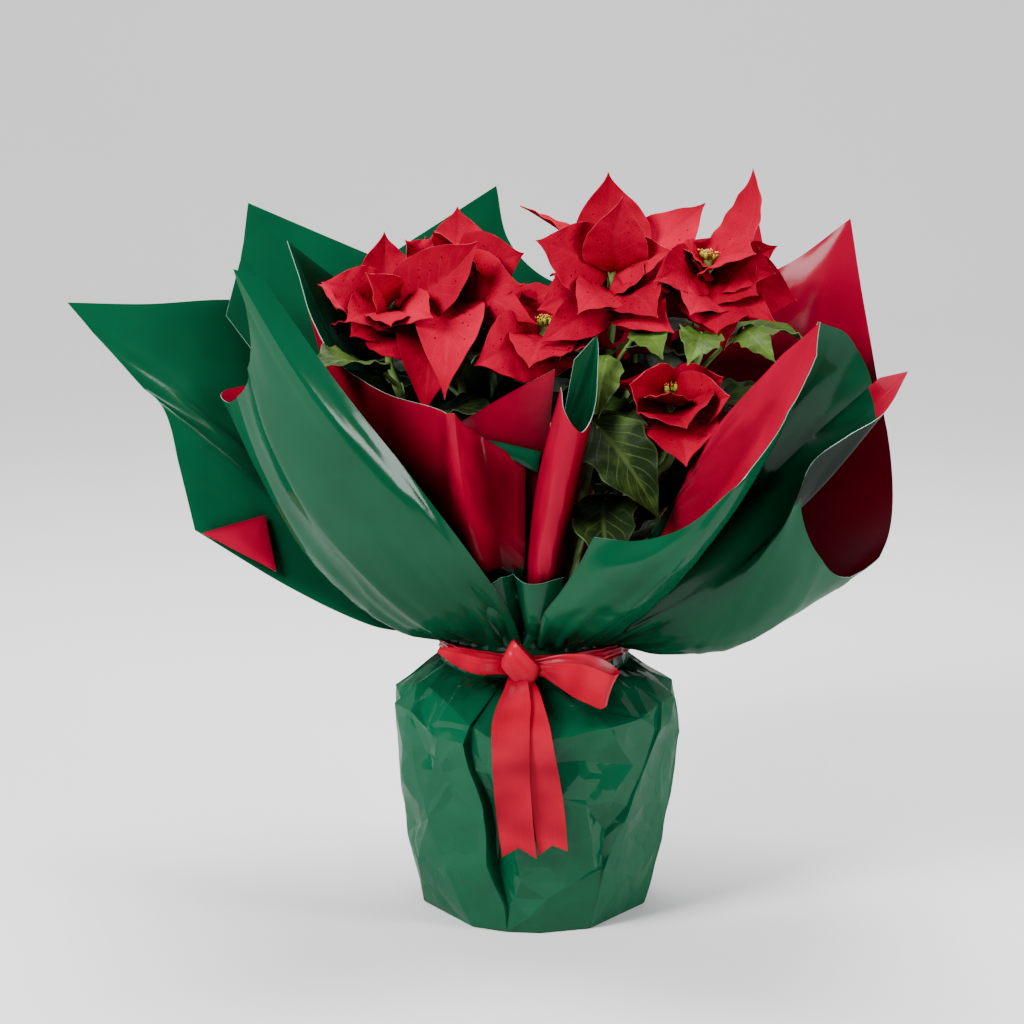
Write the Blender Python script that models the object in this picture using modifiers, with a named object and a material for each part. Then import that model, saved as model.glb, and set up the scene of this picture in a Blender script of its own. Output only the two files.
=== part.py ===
"""A potted poinsettia, wrapped in two-tone film and tied with a satin ribbon.

The model is at its real size, in metres, +Z up. Its origin is the middle of the wrapped pot's
flat underside, and -Y is the front. Lengths below are in millimetres and become metres where a
mesh is made.
"""
import math
import random
from collections import namedtuple

import bmesh
import bpy
import numpy as np
from mathutils import Matrix, Vector
from mathutils.bvhtree import BVHTree

MM = 0.001
CLEARANCE = 0.3
OBJECT_NAME = "poinsettia"

# Nursery pot
POT_HEIGHT = 128.0
POT_BASE_RADIUS = 51.0
POT_RIM_RADIUS = 75.0
POT_WALL = 1.4
POT_RIM_DROP = 12.0
POT_RIM_STEP = 2.2
DRAIN_HOLES = 4
DRAIN_RADIUS = 4.0
DRAIN_CIRCLE = 34.0
TURN_STEPS = 24

# Growing medium
SOIL_TOP = 116.0
SOIL_CROWN = 3.0
STEM_HOLE_DEPTH = 24.0

# Gift wrap: the cup round the pot, given as (height, radius) down its outer side
FILM_THICK = 0.8
CUP_PROFILE = [
    (158, 54.5), (151, 57), (147, 67), (139, 81), (127, 88), (102, 86.5), (68, 81), (32, 75), (6, 70),
    (0, 68), (0, 50),
]
# Creases of the cup, each as its number round the cup and its depth
CUP_CREASES = ((4, 1.4), (7, 1.4), (11, 1.4))
CUP_SIDES = 30
CUP_SEED = 5
NECK_INNER = 50.0
NECK_OUTER = 57.0
NECK_BOTTOM = 150.0
NECK_TOP = 175.0
NECK_PLEATS = 12
NECK_SIDES = 36
ROOT_HEIGHT = 168.0
ROOT_RADIUS = 53.6
PANEL_STEPS = 5

# Ribbon
RIBBON_WIDTH = 22.0
LOOP_WIDTH = 20.0
SLACK_LOOP_WIDTH = 10.0
NOTCH_DEPTH = 6.0
RIBBON_THICK = 0.8
BAND_RADIUS = 58.0
BAND_HEIGHT = 12.0
BAND_MIDDLE = 159.0
BAND_SIDES = 28
STRIP_STEPS = 10
KNOT_CENTRE = (-9, -70.5, 161)
KNOT_SIZE = (22, 14, 18)
KNOT_LEAN = -38
KNOT_ROUNDING = 4.0
CROSSING_CENTRE = (-9, -62.5, 161)
CROSSING_SIZE = (14, 10, 8)
CROSSING_ROUNDING = 1.0
# Each loose stretch of the ribbon: the points that it passes, the direction of its width at equal
# steps along it, its width and the depth of the notch in its end.
RIBBON_STRIPS = {
    "loop_right": (
        [(-6, -66, 160), (12, -72, 166), (32, -80, 163), (44, -86, 152), (38, -90, 146), (20, -84, 150),
         (-4, -72, 156)],
        [(0.25, 0.5, 1), (0.2, 0.5, 1), (0.3, 0.5, 1), (0.4, 0.4, 1), (0.3, 0.3, 1), (0.2, 0.3, 1)],
        LOOP_WIDTH, 0.0,
    ),
    "loop_left": (
        [(-12, -66, 161), (-28, -67, 165), (-46, -66, 167), (-57, -64, 164), (-50, -69, 161),
         (-32, -72, 159), (-12, -71, 158)],
        [(0, 0.7, 1), (0, 0.9, 1), (0, 1.2, 1), (0, 1.0, 1), (0, 0.9, 1), (0, 0.8, 1), (0, 0.7, 1)],
        SLACK_LOOP_WIDTH, 0.0,
    ),
    "tail_left": (
        [(-11, -71, 160), (-13, -87, 151), (-15, -97, 132), (-16, -97, 104), (-15, -92, 76), (-10, -88, 52)],
        [(1, 0, 0.1), (1, 0.1, 0.1), (1, 0.1, 0.0), (1, 0, 0), (1, 0, 0), (1, 0, -0.05)],
        RIBBON_WIDTH, NOTCH_DEPTH,
    ),
    "tail_right": (
        [(-8, -69, 158), (-4, -82, 149), (0, -93.5, 131), (3, -93.5, 106), (8, -89, 78), (15, -84.5, 52)],
        [(1, 0, -0.1), (1, 0.1, -0.1), (1, 0.1, 0.0), (1, 0, 0), (1, 0.05, 0), (1, 0, 0.1)],
        RIBBON_WIDTH, NOTCH_DEPTH,
    ),
}

# Plant
BLADE_THICK = 0.8
BLADE_CLEAR = 0.8
STEM_RADIUS = 3.2
STEM_TOP_RADIUS = 2.2
STEM_STEPS = 10
STALK_RADIUS = 1.3
HUB_RADIUS = 3.4
HUB_ABOVE = 2.0
HUB_BELOW = 24.0
CYATHIA_DISC_RADIUS = 4.8
CYATHIA_BEADS = 3

# Half widths along a blade, from its base at 0 to its tip at 1, as shares of the widest half
BRACT_OUTLINE = [(0.0, 0.12), (0.17, 0.30), (0.42, 1.0), (0.70, 0.76), (1.0, 0.0)]
LEAF_OUTLINE = [(0.0, 0.10), (0.16, 0.62), (0.30, 1.0), (0.42, 0.80), (0.56, 0.84), (0.78, 0.40), (1.0, 0.0)]

# Collar panels of the wrap. A panel is a list of ribs that run from the neck to the free edge.
# A rib is the angle of its root round the neck in degrees, seen from above with 0 at +X, and then
# the points that it passes.
PANELS = {
    "left_wing": [
        (190, [(-72, 0, 166), (-100, 5, 170), (-149, 15, 191), (-208, 25, 225)]),
        (183, [(-78, 8, 172), (-116, 18, 192), (-168, 32, 232), (-219, 42, 262)]),
        (176, [(-80, 14, 178), (-120, 26, 206), (-176, 42, 252), (-228, 54, 292)]),
        (170, [(-80, 22, 184), (-124, 40, 222), (-184, 58, 270), (-243, 64, 307)]),
        (162, [(-78, 32, 190), (-124, 58, 236), (-202, 82, 300), (-291, 76, 360)]),
        (152, [(-72, 44, 196), (-114, 76, 246), (-180, 100, 308), (-246, 98, 357)]),
        (142, [(-64, 54, 200), (-100, 90, 250), (-150, 116, 310), (-192, 118, 358)]),
        (132, [(-54, 62, 202), (-84, 98, 248), (-115, 124, 304), (-136, 130, 350)]),
    ],
    "left_roll": [
        (262, [(-14, -62, 190), (-34, -84, 226), (-66, -96, 272), (-110, -100, 330), (-151, -95, 388)]),
        (250, [(-28, -66, 190), (-52, -90, 226), (-88, -108, 278), (-130, -112, 334), (-167, -100, 394)]),
        (238, [(-42, -66, 188), (-70, -88, 220), (-106, -104, 270), (-140, -100, 320), (-160, -94, 364)]),
        (226, [(-56, -58, 184), (-86, -74, 212), (-122, -88, 258), (-148, -84, 304), (-160, -74, 341)]),
        (214, [(-66, -44, 178), (-94, -52, 198), (-130, -60, 240), (-154, -54, 284), (-169, -39, 319)]),
        (202, [(-72, -26, 172), (-98, -28, 184), (-136, -30, 222), (-165, -18, 270), (-183, 0, 307)]),
        (190, [(-72, -8, 172), (-100, -2, 188), (-136, 12, 228), (-166, 28, 272), (-190, 38, 309)]),
        (178, [(-68, 10, 180), (-92, 20, 204), (-122, 34, 244), (-146, 44, 284), (-162, 44, 314)]),
        (166, [(-62, 20, 190), (-82, 30, 218), (-104, 38, 254), (-120, 40, 288), (-132, 32, 316)]),
    ],
    "left_back": [
        (168, [(-76, 28, 206), (-128, 52, 270), (-164, 66, 316), (-192, 74, 352)]),
        (156, [(-70, 44, 212), (-118, 75, 284), (-156, 98, 340), (-186, 110, 388)]),
        (146, [(-62, 56, 216), (-106, 92, 294), (-144, 118, 360), (-183, 130, 419)]),
        (134, [(-52, 66, 216), (-84, 104, 290), (-110, 126, 346), (-138, 138, 399)]),
        (120, [(-36, 74, 214), (-60, 110, 280), (-78, 132, 332), (-94, 142, 380)]),
    ],
    "inner_left": [
        (110, [(-22, 62, 200), (-46, 86, 258), (-66, 98, 312), (-80, 98, 352)]),
        (126, [(-36, 56, 204), (-72, 78, 262), (-104, 88, 320), (-120, 84, 372)]),
        (142, [(-48, 44, 206), (-88, 60, 262), (-124, 70, 330), (-152, 62, 399)]),
        (158, [(-56, 28, 206), (-92, 34, 256), (-122, 40, 316), (-143, 36, 380)]),
        (174, [(-60, 12, 204), (-92, 10, 250), (-118, 8, 302), (-132, 0, 356)]),
        (190, [(-60, -6, 202), (-84, -14, 244), (-104, -24, 290), (-114, -30, 333)]),
        (208, [(-54, -24, 200), (-70, -36, 236), (-82, -46, 278), (-87, -50, 319)]),
        (226, [(-42, -38, 198), (-50, -50, 230), (-55, -60, 272), (-58, -68, 313)]),
        (240, [(-28, -50, 200), (-36, -66, 232), (-42, -76, 268), (-48, -78, 311)]),
        (248, [(-18, -50, 200), (-22, -54, 232), (-28, -52, 262), (-36, -46, 296)]),
        (256, [(-8, -50, 202), (-6, -50, 230), (-6, -46, 254), (-6, -42, 277)]),
    ],
    "inner_web": [
        (244, [(-24, -44, 205), (-32, -44, 245), (-40, -36, 276), (-44, -28, 299)]),
        (255, [(-12, -44, 210), (-14, -40, 250), (-16, -36, 286), (-17, -34, 316)]),
        (266, [(0, -46, 212), (4, -40, 256), (8, -38, 296), (11, -42, 332)]),
    ],
    "inner_tube": [
        (260, [(-6, -54, 200), (-4, -58, 230), (2, -62, 275), (14, -64, 324)]),
        (264, [(-2, -58, 200), (2, -68, 232), (10, -76, 275), (18, -79, 308)]),
        (270, [(6, -60, 202), (12, -70, 236), (19, -76, 272), (26, -76, 300)]),
        (276, [(14, -56, 206), (18, -60, 242), (26, -62, 280), (34, -58, 315)]),
        (280, [(14, -50, 208), (19, -48, 248), (28, -46, 296), (35, -40, 351)]),
        (276, [(6, -46, 208), (9, -44, 250), (14, -46, 292), (22, -48, 338)]),
    ],
    "front_gusset": [
        (242, [(-30, -62, 186), (-36, -70, 206)]),
        (254, [(-15, -64, 188), (-20, -72, 214)]),
        (266, [(-2, -64, 186), (-4, -70, 210)]),
        (280, [(12, -62, 186), (16, -66, 214)]),
    ],
    "front_trough": [
        (270, [(4, -68, 192), (14, -78, 208), (24, -88, 226), (32, -95, 243)]),
        (278, [(13, -72, 188), (28, -90, 206), (44, -106, 228), (57, -110, 244)]),
        (287, [(24, -72, 184), (44, -96, 206), (64, -116, 232), (84, -125, 256)]),
        (297, [(36, -68, 182), (60, -96, 206), (88, -122, 244), (115, -135, 288)]),
        (307, [(46, -60, 182), (72, -86, 208), (106, -116, 256), (137, -130, 318)]),
        (315, [(52, -52, 184), (80, -72, 216), (118, -100, 276), (150, -114, 346)]),
        (321, [(54, -44, 188), (84, -58, 228), (124, -78, 294), (157, -92, 364)]),
        (313, [(48, -40, 194), (74, -50, 238), (106, -64, 290), (135, -72, 339)]),
        (303, [(40, -42, 196), (66, -48, 234), (88, -56, 272), (106, -60, 304)]),
        (293, [(32, -44, 194), (60, -48, 220), (80, -50, 244), (88, -48, 272)]),
    ],
    "right_fold": [
        (316, [(56, -36, 200), (98, -56, 254), (136, -66, 312), (160, -60, 361)]),
        (324, [(62, -30, 200), (108, -48, 254), (152, -58, 306), (180, -46, 351)]),
        (332, [(66, -24, 196), (114, -42, 240), (160, -50, 286), (195, -38, 322)]),
        (340, [(68, -16, 190), (116, -32, 226), (158, -42, 264), (192, -36, 292)]),
    ],
    "right_roll": [
        (300, [(46, -58, 190), (86, -76, 226), (140, -84, 284), (197, -52, 328)]),
        (304, [(50, -60, 186), (92, -82, 220), (150, -94, 278), (210, -72, 334)]),
        (308, [(54, -60, 182), (96, -84, 212), (154, -102, 268), (194, -92, 313)]),
        (313, [(58, -58, 178), (96, -84, 204), (142, -106, 258), (172, -106, 302)]),
        (318, [(62, -56, 174), (98, -82, 196), (134, -108, 246), (151, -116, 288)]),
        (323, [(65, -53, 170), (102, -78, 186), (134, -100, 228), (146, -110, 266)]),
        (328, [(68, -48, 167), (106, -70, 176), (142, -86, 206), (157, -90, 235)]),
        (334, [(70, -40, 165), (108, -56, 170), (148, -60, 190), (180, -50, 211)]),
        (344, [(72, -22, 167), (116, -28, 176), (168, -18, 198), (211, 0, 221)]),
        (356, [(72, -2, 174), (124, 6, 200), (182, 24, 232), (221, 42, 254)]),
        (8, [(70, 18, 180), (124, 36, 224), (178, 60, 276), (215, 82, 316)]),
        (20, [(66, 34, 184), (116, 60, 240), (168, 90, 308), (207, 106, 372)]),
        (32, [(60, 46, 188), (104, 76, 250), (158, 106, 328), (201, 112, 410)]),
        (44, [(50, 56, 192), (84, 90, 258), (124, 116, 322), (162, 122, 380)]),
        (56, [(40, 64, 194), (64, 98, 258), (88, 122, 318), (112, 130, 360)]),
    ],
    "back_right": [
        (76, [(16, 76, 206), (28, 112, 276), (40, 134, 336), (52, 142, 376)]),
        (66, [(32, 74, 208), (56, 108, 280), (76, 134, 344), (90, 144, 392)]),
        (54, [(46, 68, 208), (80, 102, 280), (108, 132, 344), (128, 146, 398)]),
        (44, [(56, 62, 206), (94, 96, 272), (124, 128, 334), (146, 142, 406)]),
        (36, [(62, 54, 202), (104, 86, 258), (134, 118, 312), (152, 134, 372)]),
    ],
    "back_centre": [
        (126, [(-46, 64, 210), (-78, 104, 276), (-98, 134, 334), (-104, 146, 376)]),
        (120, [(-42, 68, 212), (-68, 110, 280), (-84, 138, 342), (-88, 150, 388)]),
        (114, [(-36, 72, 214), (-54, 114, 286), (-62, 142, 348), (-60, 152, 406)]),
        (103, [(-24, 78, 216), (-34, 120, 296), (-34, 146, 368), (-24, 154, 429)]),
        (93, [(-8, 80, 216), (-10, 122, 290), (-12, 146, 346), (-16, 150, 394)]),
        (81, [(10, 80, 214), (12, 120, 280), (12, 142, 332), (8, 144, 370)]),
        (68, [(28, 76, 210), (36, 112, 270), (42, 132, 320), (46, 136, 360)]),
    ],
}

# Blooms: the middle of each flower head, its stem's foot in the soil, the bracts that are placed one
# by one as (tip, width, arch, fold, roll), and how many more are placed by rule.
# Arch lifts the midrib above its chord and fold lifts the edges above the midrib, both as shares of
# the length, and a minus sign turns them down. Roll turns the upper face to the front, in degrees.
BLOOMS = {
    "left": {
        "centre": (-87, 14, 366),
        "foot": (-24, 4),
        "bracts": [
            ((-126, -6, 379), 27, 0.08, 0.08, 55),
            ((-99, -22, 386), 22, 0.08, 0.14, 60),
            ((-91, 38, 406), 28, -0.16, 0.08, 0),
            ((-34, -6, 403), 32, -0.10, 0.14, 50),
            ((-60, -26, 356), 28, 0.10, 0.04, 45),
            ((-84, -34, 356), 24, 0.12, -0.05, 20),
            ((-111, -22, 357), 26, 0.10, 0.04, 40),
        ],
        "more": 1,
    },
    "middle": {
        "centre": (-50, 36, 384),
        "foot": (-12, 14),
        "bracts": [
            ((-67, 60, 402), 20, -0.10, 0.08, 20),
            ((-46, 60, 417), 30, -0.16, 0.10, 10),
            ((-8, 22, 398), 36, 0.06, 0.06, 55),
            ((-8, 4, 372), 32, 0.12, 0.05, 65),
            ((2, -8, 360), 20, 0.16, -0.05, 60),
            ((-68, -34, 312), 36, 0.20, 0.08, 35),
            ((-41, -32, 304), 32, 0.18, 0.08, 35),
        ],
        "more": 2,
    },
    "low_middle": {
        "centre": (6, 8, 350),
        "foot": (2, -14),
        "bracts": [
            ((-36, -26, 332), 36, 0.14, 0.06, 62),
            ((-29, 4, 358), 26, 0.10, 0.06, 40),
            ((14, -24, 332), 24, 0.12, 0.05, 45),
        ],
        "more": 3,
    },
    "top_right": {
        "centre": (46, 16, 386),
        "foot": (12, 4),
        "bracts": [
            ((0, -12, 404), 34, 0.04, 0.06, 60),
            ((-9, 30, 422), 16, 0.05, 0.05, 0),
            ((44, 34, 442), 36, -0.22, 0.10, 0),
            ((100, 44, 428), 36, -0.08, 0.06, 35),
            ((80, -4, 398), 24, 0.06, 0.12, 45),
            ((71, -28, 360), 30, 0.12, 0.05, 40),
            ((81, -24, 351), 24, 0.12, 0.04, 50),
            ((24, -26, 366), 26, 0.12, 0.06, 30),
            ((1, 0, 362), 30, 0.10, 0.05, 50),
            ((1, -20, 344), 22, 0.10, 0.04, 60),
        ],
        "more": 1,
    },
    "far_right": {
        "centre": (104, 24, 388),
        "foot": (26, 10),
        "bracts": [
            ((131, 36, 444), 28, -0.18, 0.12, 5),
            ((66, 40, 412), 28, -0.06, 0.06, 30),
            ((69, -14, 380), 26, 0.06, 0.08, 65),
            ((90, -22, 365), 30, 0.08, 0.05, 65),
            ((106, -26, 362), 34, 0.10, -0.08, 50),
            ((157, 16, 366), 34, 0.08, 0.05, 55),
            ((112, -18, 346), 22, 0.12, 0.05, 35),
            ((141, -8, 356), 20, 0.10, 0.05, 35),
            ((146, 30, 398), 26, -0.06, 0.06, 40),
        ],
        "more": 1,
    },
    "low_right": {
        "centre": (79, -22, 314),
        "foot": (22, -10),
        "bracts": [
            ((54, -44, 323), 28, -0.10, 0.20, 70),
            ((63, -34, 336), 26, -0.10, 0.18, 60),
            ((86, -30, 336), 26, -0.12, 0.18, 50),
            ((104, -34, 334), 26, -0.10, 0.18, 60),
            ((112, -48, 317), 28, -0.10, 0.20, 70),
            ((86, -62, 300), 36, 0.06, 0.22, 58),
        ],
        "more": 0,
    },
    "back_left": {
        "centre": (-26, 84, 352),
        "foot": (-8, 26),
        "bracts": [],
        "more": 9,
    },
    "back_right": {
        "centre": (62, 78, 358),
        "foot": (16, 24),
        "bracts": [],
        "more": 9,
    },
}
BRACT_SEED = 21
# The rule's bracts take these layers in turn: pitch above the level and length, each as a range,
# then width and arch.
BRACT_LAYERS = [
    ((6, 20), (46, 54), 30, 0.10),
    ((-22, -8), (48, 56), 32, 0.14),
    ((32, 46), (34, 42), 24, -0.12),
]

# Leaves that are placed one by one: stem, share of the stem's height, blade's base, tip, width,
# arch, fold and roll.
PLACED_LEAVES = [
    ("left", 0.86, (-86, -8, 357), (-92, -30, 322), 20, 0.10, 0.08, 60),
    ("middle", 0.84, (-44, 20, 366), (-4, 12, 360), 28, 0.12, 0.06, 65),
    ("top_right", 0.86, (52, -4, 364), (44, -30, 334), 24, 0.14, 0.06, 60),
    ("top_right", 0.84, (60, -6, 352), (74, -30, 336), 24, 0.12, 0.06, 55),
    ("far_right", 0.82, (98, -8, 350), (122, -34, 334), 28, 0.12, 0.08, 60),
    ("far_right", 0.84, (122, 0, 352), (140, -26, 334), 22, 0.14, -0.05, 40),
    ("top_right", 0.78, (42, -24, 338), (34, -50, 308), 24, 0.12, 0.08, 60),
    ("low_middle", 0.60, (32, -38, 302), (58, -64, 240), 42, 0.14, 0.05, 60),
]
LEAVES_PER_STEM = 3
LEAVES_PER_LOW_STEM = 2
LOW_STEM = 355
LEAF_LENGTH = (48, 72)
LEAF_HEIGHT = (0.30, 0.84)
LEAF_SEED = 8
GOLDEN_ANGLE = 137.5
# Turns that a blade tries, in degrees up and sideways, until it is clear of its neighbours
BENDS = [
    (0, 0), (6, 0), (-6, 0), (0, 8), (0, -8), (12, 0), (-12, 0), (9, 14), (9, -14), (-9, 14), (-9, -14),
    (20, 0), (-20, 0), (16, 24), (16, -24), (-16, 24), (-16, -24), (30, 0), (-30, 0), (24, 40), (24, -40),
    (-24, 40), (-24, -40), (44, 0), (40, 60), (40, -60), (0, 60), (0, -60), (56, 30), (56, -30), (66, 0),
]
SMALL_BENDS = [
    (0, 0), (5, 0), (-5, 0), (0, 6), (0, -6), (10, 0), (-10, 0), (8, 10), (8, -10), (-8, 10), (-8, -10),
    (15, 0), (-15, 0), (0, 14), (0, -14),
]
SHRINKS = (1.0, 0.82, 0.66)


def clear_scene():
    for obj in list(bpy.data.objects):
        bpy.data.objects.remove(obj, do_unlink=True)


def new_collection(name, hidden=False):
    collection = bpy.data.collections.new(name)
    bpy.context.scene.collection.children.link(collection)
    collection.hide_render = hidden
    return collection


def make_material(name, colour, roughness, metallic=0.0):
    material = bpy.data.materials.new(name)
    material.use_nodes = True
    shader = material.node_tree.nodes["Principled BSDF"]
    shader.inputs["Base Color"].default_value = (*colour, 1.0)
    shader.inputs["Roughness"].default_value = roughness
    shader.inputs["Metallic"].default_value = metallic
    return material


def add_mesh(name, vertices, faces, collection, material=None):
    """An object from points in millimetres."""
    mesh = bpy.data.meshes.new(name)
    mesh.from_pydata([tuple(MM * c for c in v) for v in vertices], [], faces)
    mesh.validate()
    mesh.update()
    return add_object(name, mesh, collection, material)


def add_object(name, mesh, collection, material=None):
    obj = bpy.data.objects.new(name, mesh)
    collection.objects.link(obj)
    if material:
        mesh.materials.clear()
        mesh.materials.append(material)
    return obj


def applied(obj):
    """The object with its modifiers applied to its mesh."""
    bpy.context.view_layer.update()
    graph = bpy.context.evaluated_depsgraph_get()
    mesh = bpy.data.meshes.new_from_object(obj.evaluated_get(graph))
    old = obj.data
    obj.modifiers.clear()
    obj.data = mesh
    bpy.data.meshes.remove(old)
    return obj


def shade(obj, angle=40):
    obj.data.shade_smooth()
    obj.data.set_sharp_from_angle(angle=math.radians(angle))


def fuse(core, pieces, solver="EXACT"):
    """Joins the loose solids into the core with one union, and removes them."""
    group = bpy.data.collections.new("joined to " + core.name)
    bpy.context.scene.collection.children.link(group)
    for piece in pieces:
        for owner in list(piece.users_collection):
            owner.objects.unlink(piece)
        group.objects.link(piece)
    union = core.modifiers.new("union", "BOOLEAN")
    union.operand_type = "COLLECTION"
    union.collection = group
    union.operation = "UNION"
    union.solver = solver
    applied(core)
    for piece in pieces:
        bpy.data.objects.remove(piece, do_unlink=True)
    bpy.data.collections.remove(group)
    return core


def cut(obj, cutters):
    for cutter in cutters:
        cutter.hide_render = True
        cutter.display_type = "WIRE"
        difference = obj.modifiers.new("cut " + cutter.name, "BOOLEAN")
        difference.operation = "DIFFERENCE"
        difference.object = cutter


def smooth_path(points, count, even=True):
    """A smooth curve through the points, read at equal steps of its length.

    With even off, count is the number of steps from each point to the next, so that every one of
    the points is among those that are read.
    """
    points = np.asarray(points, float)
    steps = np.linalg.norm(np.diff(points, axis=0), axis=1)
    knots = np.concatenate([[0.0], np.cumsum(steps)])
    slopes = np.empty_like(points)
    slopes[1:-1] = (points[2:] - points[:-2]) / (knots[2:] - knots[:-2])[:, None]
    slopes[0] = (points[1] - points[0]) / steps[0]
    slopes[-1] = (points[-1] - points[-2]) / steps[-1]
    if even:
        wanted = np.linspace(0.0, knots[-1], count)
    else:
        wanted = np.interp(np.arange(len(steps) * count + 1) / count, range(len(knots)), knots)
    at = np.clip(np.searchsorted(knots, wanted, side="right") - 1, 0, len(steps) - 1)
    span = steps[at][:, None]
    t = ((wanted - knots[at]) / steps[at])[:, None]
    return (
        (2 * t**3 - 3 * t**2 + 1) * points[at]
        + (t**3 - 2 * t**2 + t) * span * slopes[at]
        + (-2 * t**3 + 3 * t**2) * points[at + 1]
        + (t**3 - t**2) * span * slopes[at + 1]
    )


def grid_faces(rows, columns, closed=False):
    """Triangles of a grid of points, all split the same way."""
    faces = []
    last = columns if closed else columns - 1
    for row in range(rows - 1):
        for column in range(last):
            beside = (column + 1) % columns
            a, b = row * columns + column, row * columns + beside
            c, d = a + columns, b + columns
            faces += [(a, b, d), (a, d, c)]
    return faces


def thicken(obj, thickness, offset=0.0):
    solidify = obj.modifiers.new("thickness", "SOLIDIFY")
    solidify.thickness = thickness * MM
    solidify.offset = offset
    return applied(obj)


def root_point(angle, radius=ROOT_RADIUS, height=ROOT_HEIGHT):
    turn = math.radians(angle)
    return (radius * math.cos(turn), radius * math.sin(turn), height)


def panel_surface(ribs, between, along):
    """Points of a panel, row by row from its first rib to its last, with steps between ribs."""
    paths = np.array([smooth_path([root_point(angle)] + points, along) for angle, points in ribs])
    columns = [smooth_path(paths[:, step], between, even=False) for step in range(along)]
    return np.stack(columns, axis=1)


def build_panel(name, ribs, collection):
    surface = panel_surface(ribs, 1, PANEL_STEPS)
    faces = grid_faces(len(surface), PANEL_STEPS)
    sheet = add_mesh(name, surface.reshape(-1, 3), faces, collection)
    return thicken(sheet, FILM_THICK)


def cup_radius(angle, height, radius):
    """The cup's radius with its broad creases, which fade out towards the flat base."""
    draws = random.Random(CUP_SEED)
    crease = 0.0
    for waves, size in CUP_CREASES:
        lean = draws.uniform(-0.02, 0.02)
        phase = draws.uniform(0, 2 * math.pi)
        crease += size * math.cos(waves * (angle + lean * height) + phase)
    fade = min(1.0, 0.35 + height / 60.0) * min(1.0, (165.0 - height) / 30.0)
    return radius + crease * fade


def build_cup(collection):
    """The film from the neck down over the pot's shoulder and under its base."""
    vertices = []
    for height, radius in CUP_PROFILE:
        for side in range(CUP_SIDES):
            angle = 2 * math.pi * side / CUP_SIDES
            r = cup_radius(angle, height, radius) if radius > 60 else radius
            vertices.append((r * math.cos(angle), r * math.sin(angle), height))
    middle = len(vertices)
    vertices.append((0.0, 0.0, 0.0))
    rows = len(CUP_PROFILE)
    faces = [(c, b, a) for a, b, c in grid_faces(rows, CUP_SIDES, closed=True)]
    ring = (rows - 1) * CUP_SIDES
    for side in range(CUP_SIDES):
        faces.append((ring + side, middle, ring + (side + 1) % CUP_SIDES))
    cup = add_mesh("wrap_film", vertices, faces, collection)
    return thicken(cup, FILM_THICK, offset=-1.0)


def build_neck(collection):
    """The gathered film at the tie: a thick ring with pleats on its outer side."""
    middle = (NECK_INNER + NECK_OUTER) / 2
    profile = [
        (NECK_INNER, NECK_BOTTOM + 3), (NECK_OUTER - 2, NECK_BOTTOM), (NECK_OUTER, NECK_BOTTOM + 4),
        (NECK_OUTER, NECK_TOP - 5), (middle, NECK_TOP), (NECK_INNER, NECK_TOP - 3),
    ]
    vertices = []
    for side in range(NECK_SIDES):
        angle = 2 * math.pi * side / NECK_SIDES
        pleat = 0.9 * (math.cos(NECK_PLEATS * angle) - 1) / 2
        for radius, height in profile:
            r = radius + (pleat if radius > middle else 0.0)
            vertices.append((r * math.cos(angle), r * math.sin(angle), height))
    faces = []
    count = len(profile)
    for side in range(NECK_SIDES):
        for step in range(count):
            a, b = side * count + step, side * count + (step + 1) % count
            c, d = (a + count) % len(vertices), (b + count) % len(vertices)
            faces += [(a, c, d), (a, d, b)]
    return add_mesh("neck", vertices, faces, collection)


def build_wrap(collection, material):
    cup = build_cup(collection)
    panels = [build_panel(name, ribs, collection) for name, ribs in PANELS.items()]
    wrap = fuse(cup, [build_neck(collection)] + panels, solver="MANIFOLD")
    wrap.data.materials.clear()
    wrap.data.materials.append(material)
    return wrap


def turned(name, profile, steps, collection, material):
    """A closed turned solid: the profile runs from the axis at the top round to the axis below."""
    mesh = bpy.data.meshes.new(name)
    points = [(radius * MM, 0.0, height * MM) for radius, height in profile]
    mesh.from_pydata(points, [(i, i + 1) for i in range(len(points) - 1)], [])
    obj = add_object(name, mesh, collection, material)
    screw = obj.modifiers.new("turn", "SCREW")
    screw.angle = 2 * math.pi
    screw.steps = steps
    screw.render_steps = steps
    screw.use_merge_vertices = True
    screw.merge_threshold = 0.00001
    screw.use_smooth_shade = True
    return applied(obj)


def upright_cylinder(name, centre, radius, bottom, top, collection, sides=16):
    mesh = bpy.data.meshes.new(name)
    cylinder = bmesh.new()
    bmesh.ops.create_cone(
        cylinder, cap_ends=True, segments=sides, radius1=radius * MM, radius2=radius * MM,
        depth=(top - bottom) * MM,
        matrix=Matrix.Translation((centre[0] * MM, centre[1] * MM, (bottom + top) / 2 * MM)),
    )
    cylinder.to_mesh(mesh)
    cylinder.free()
    return add_object(name, mesh, collection)


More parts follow.
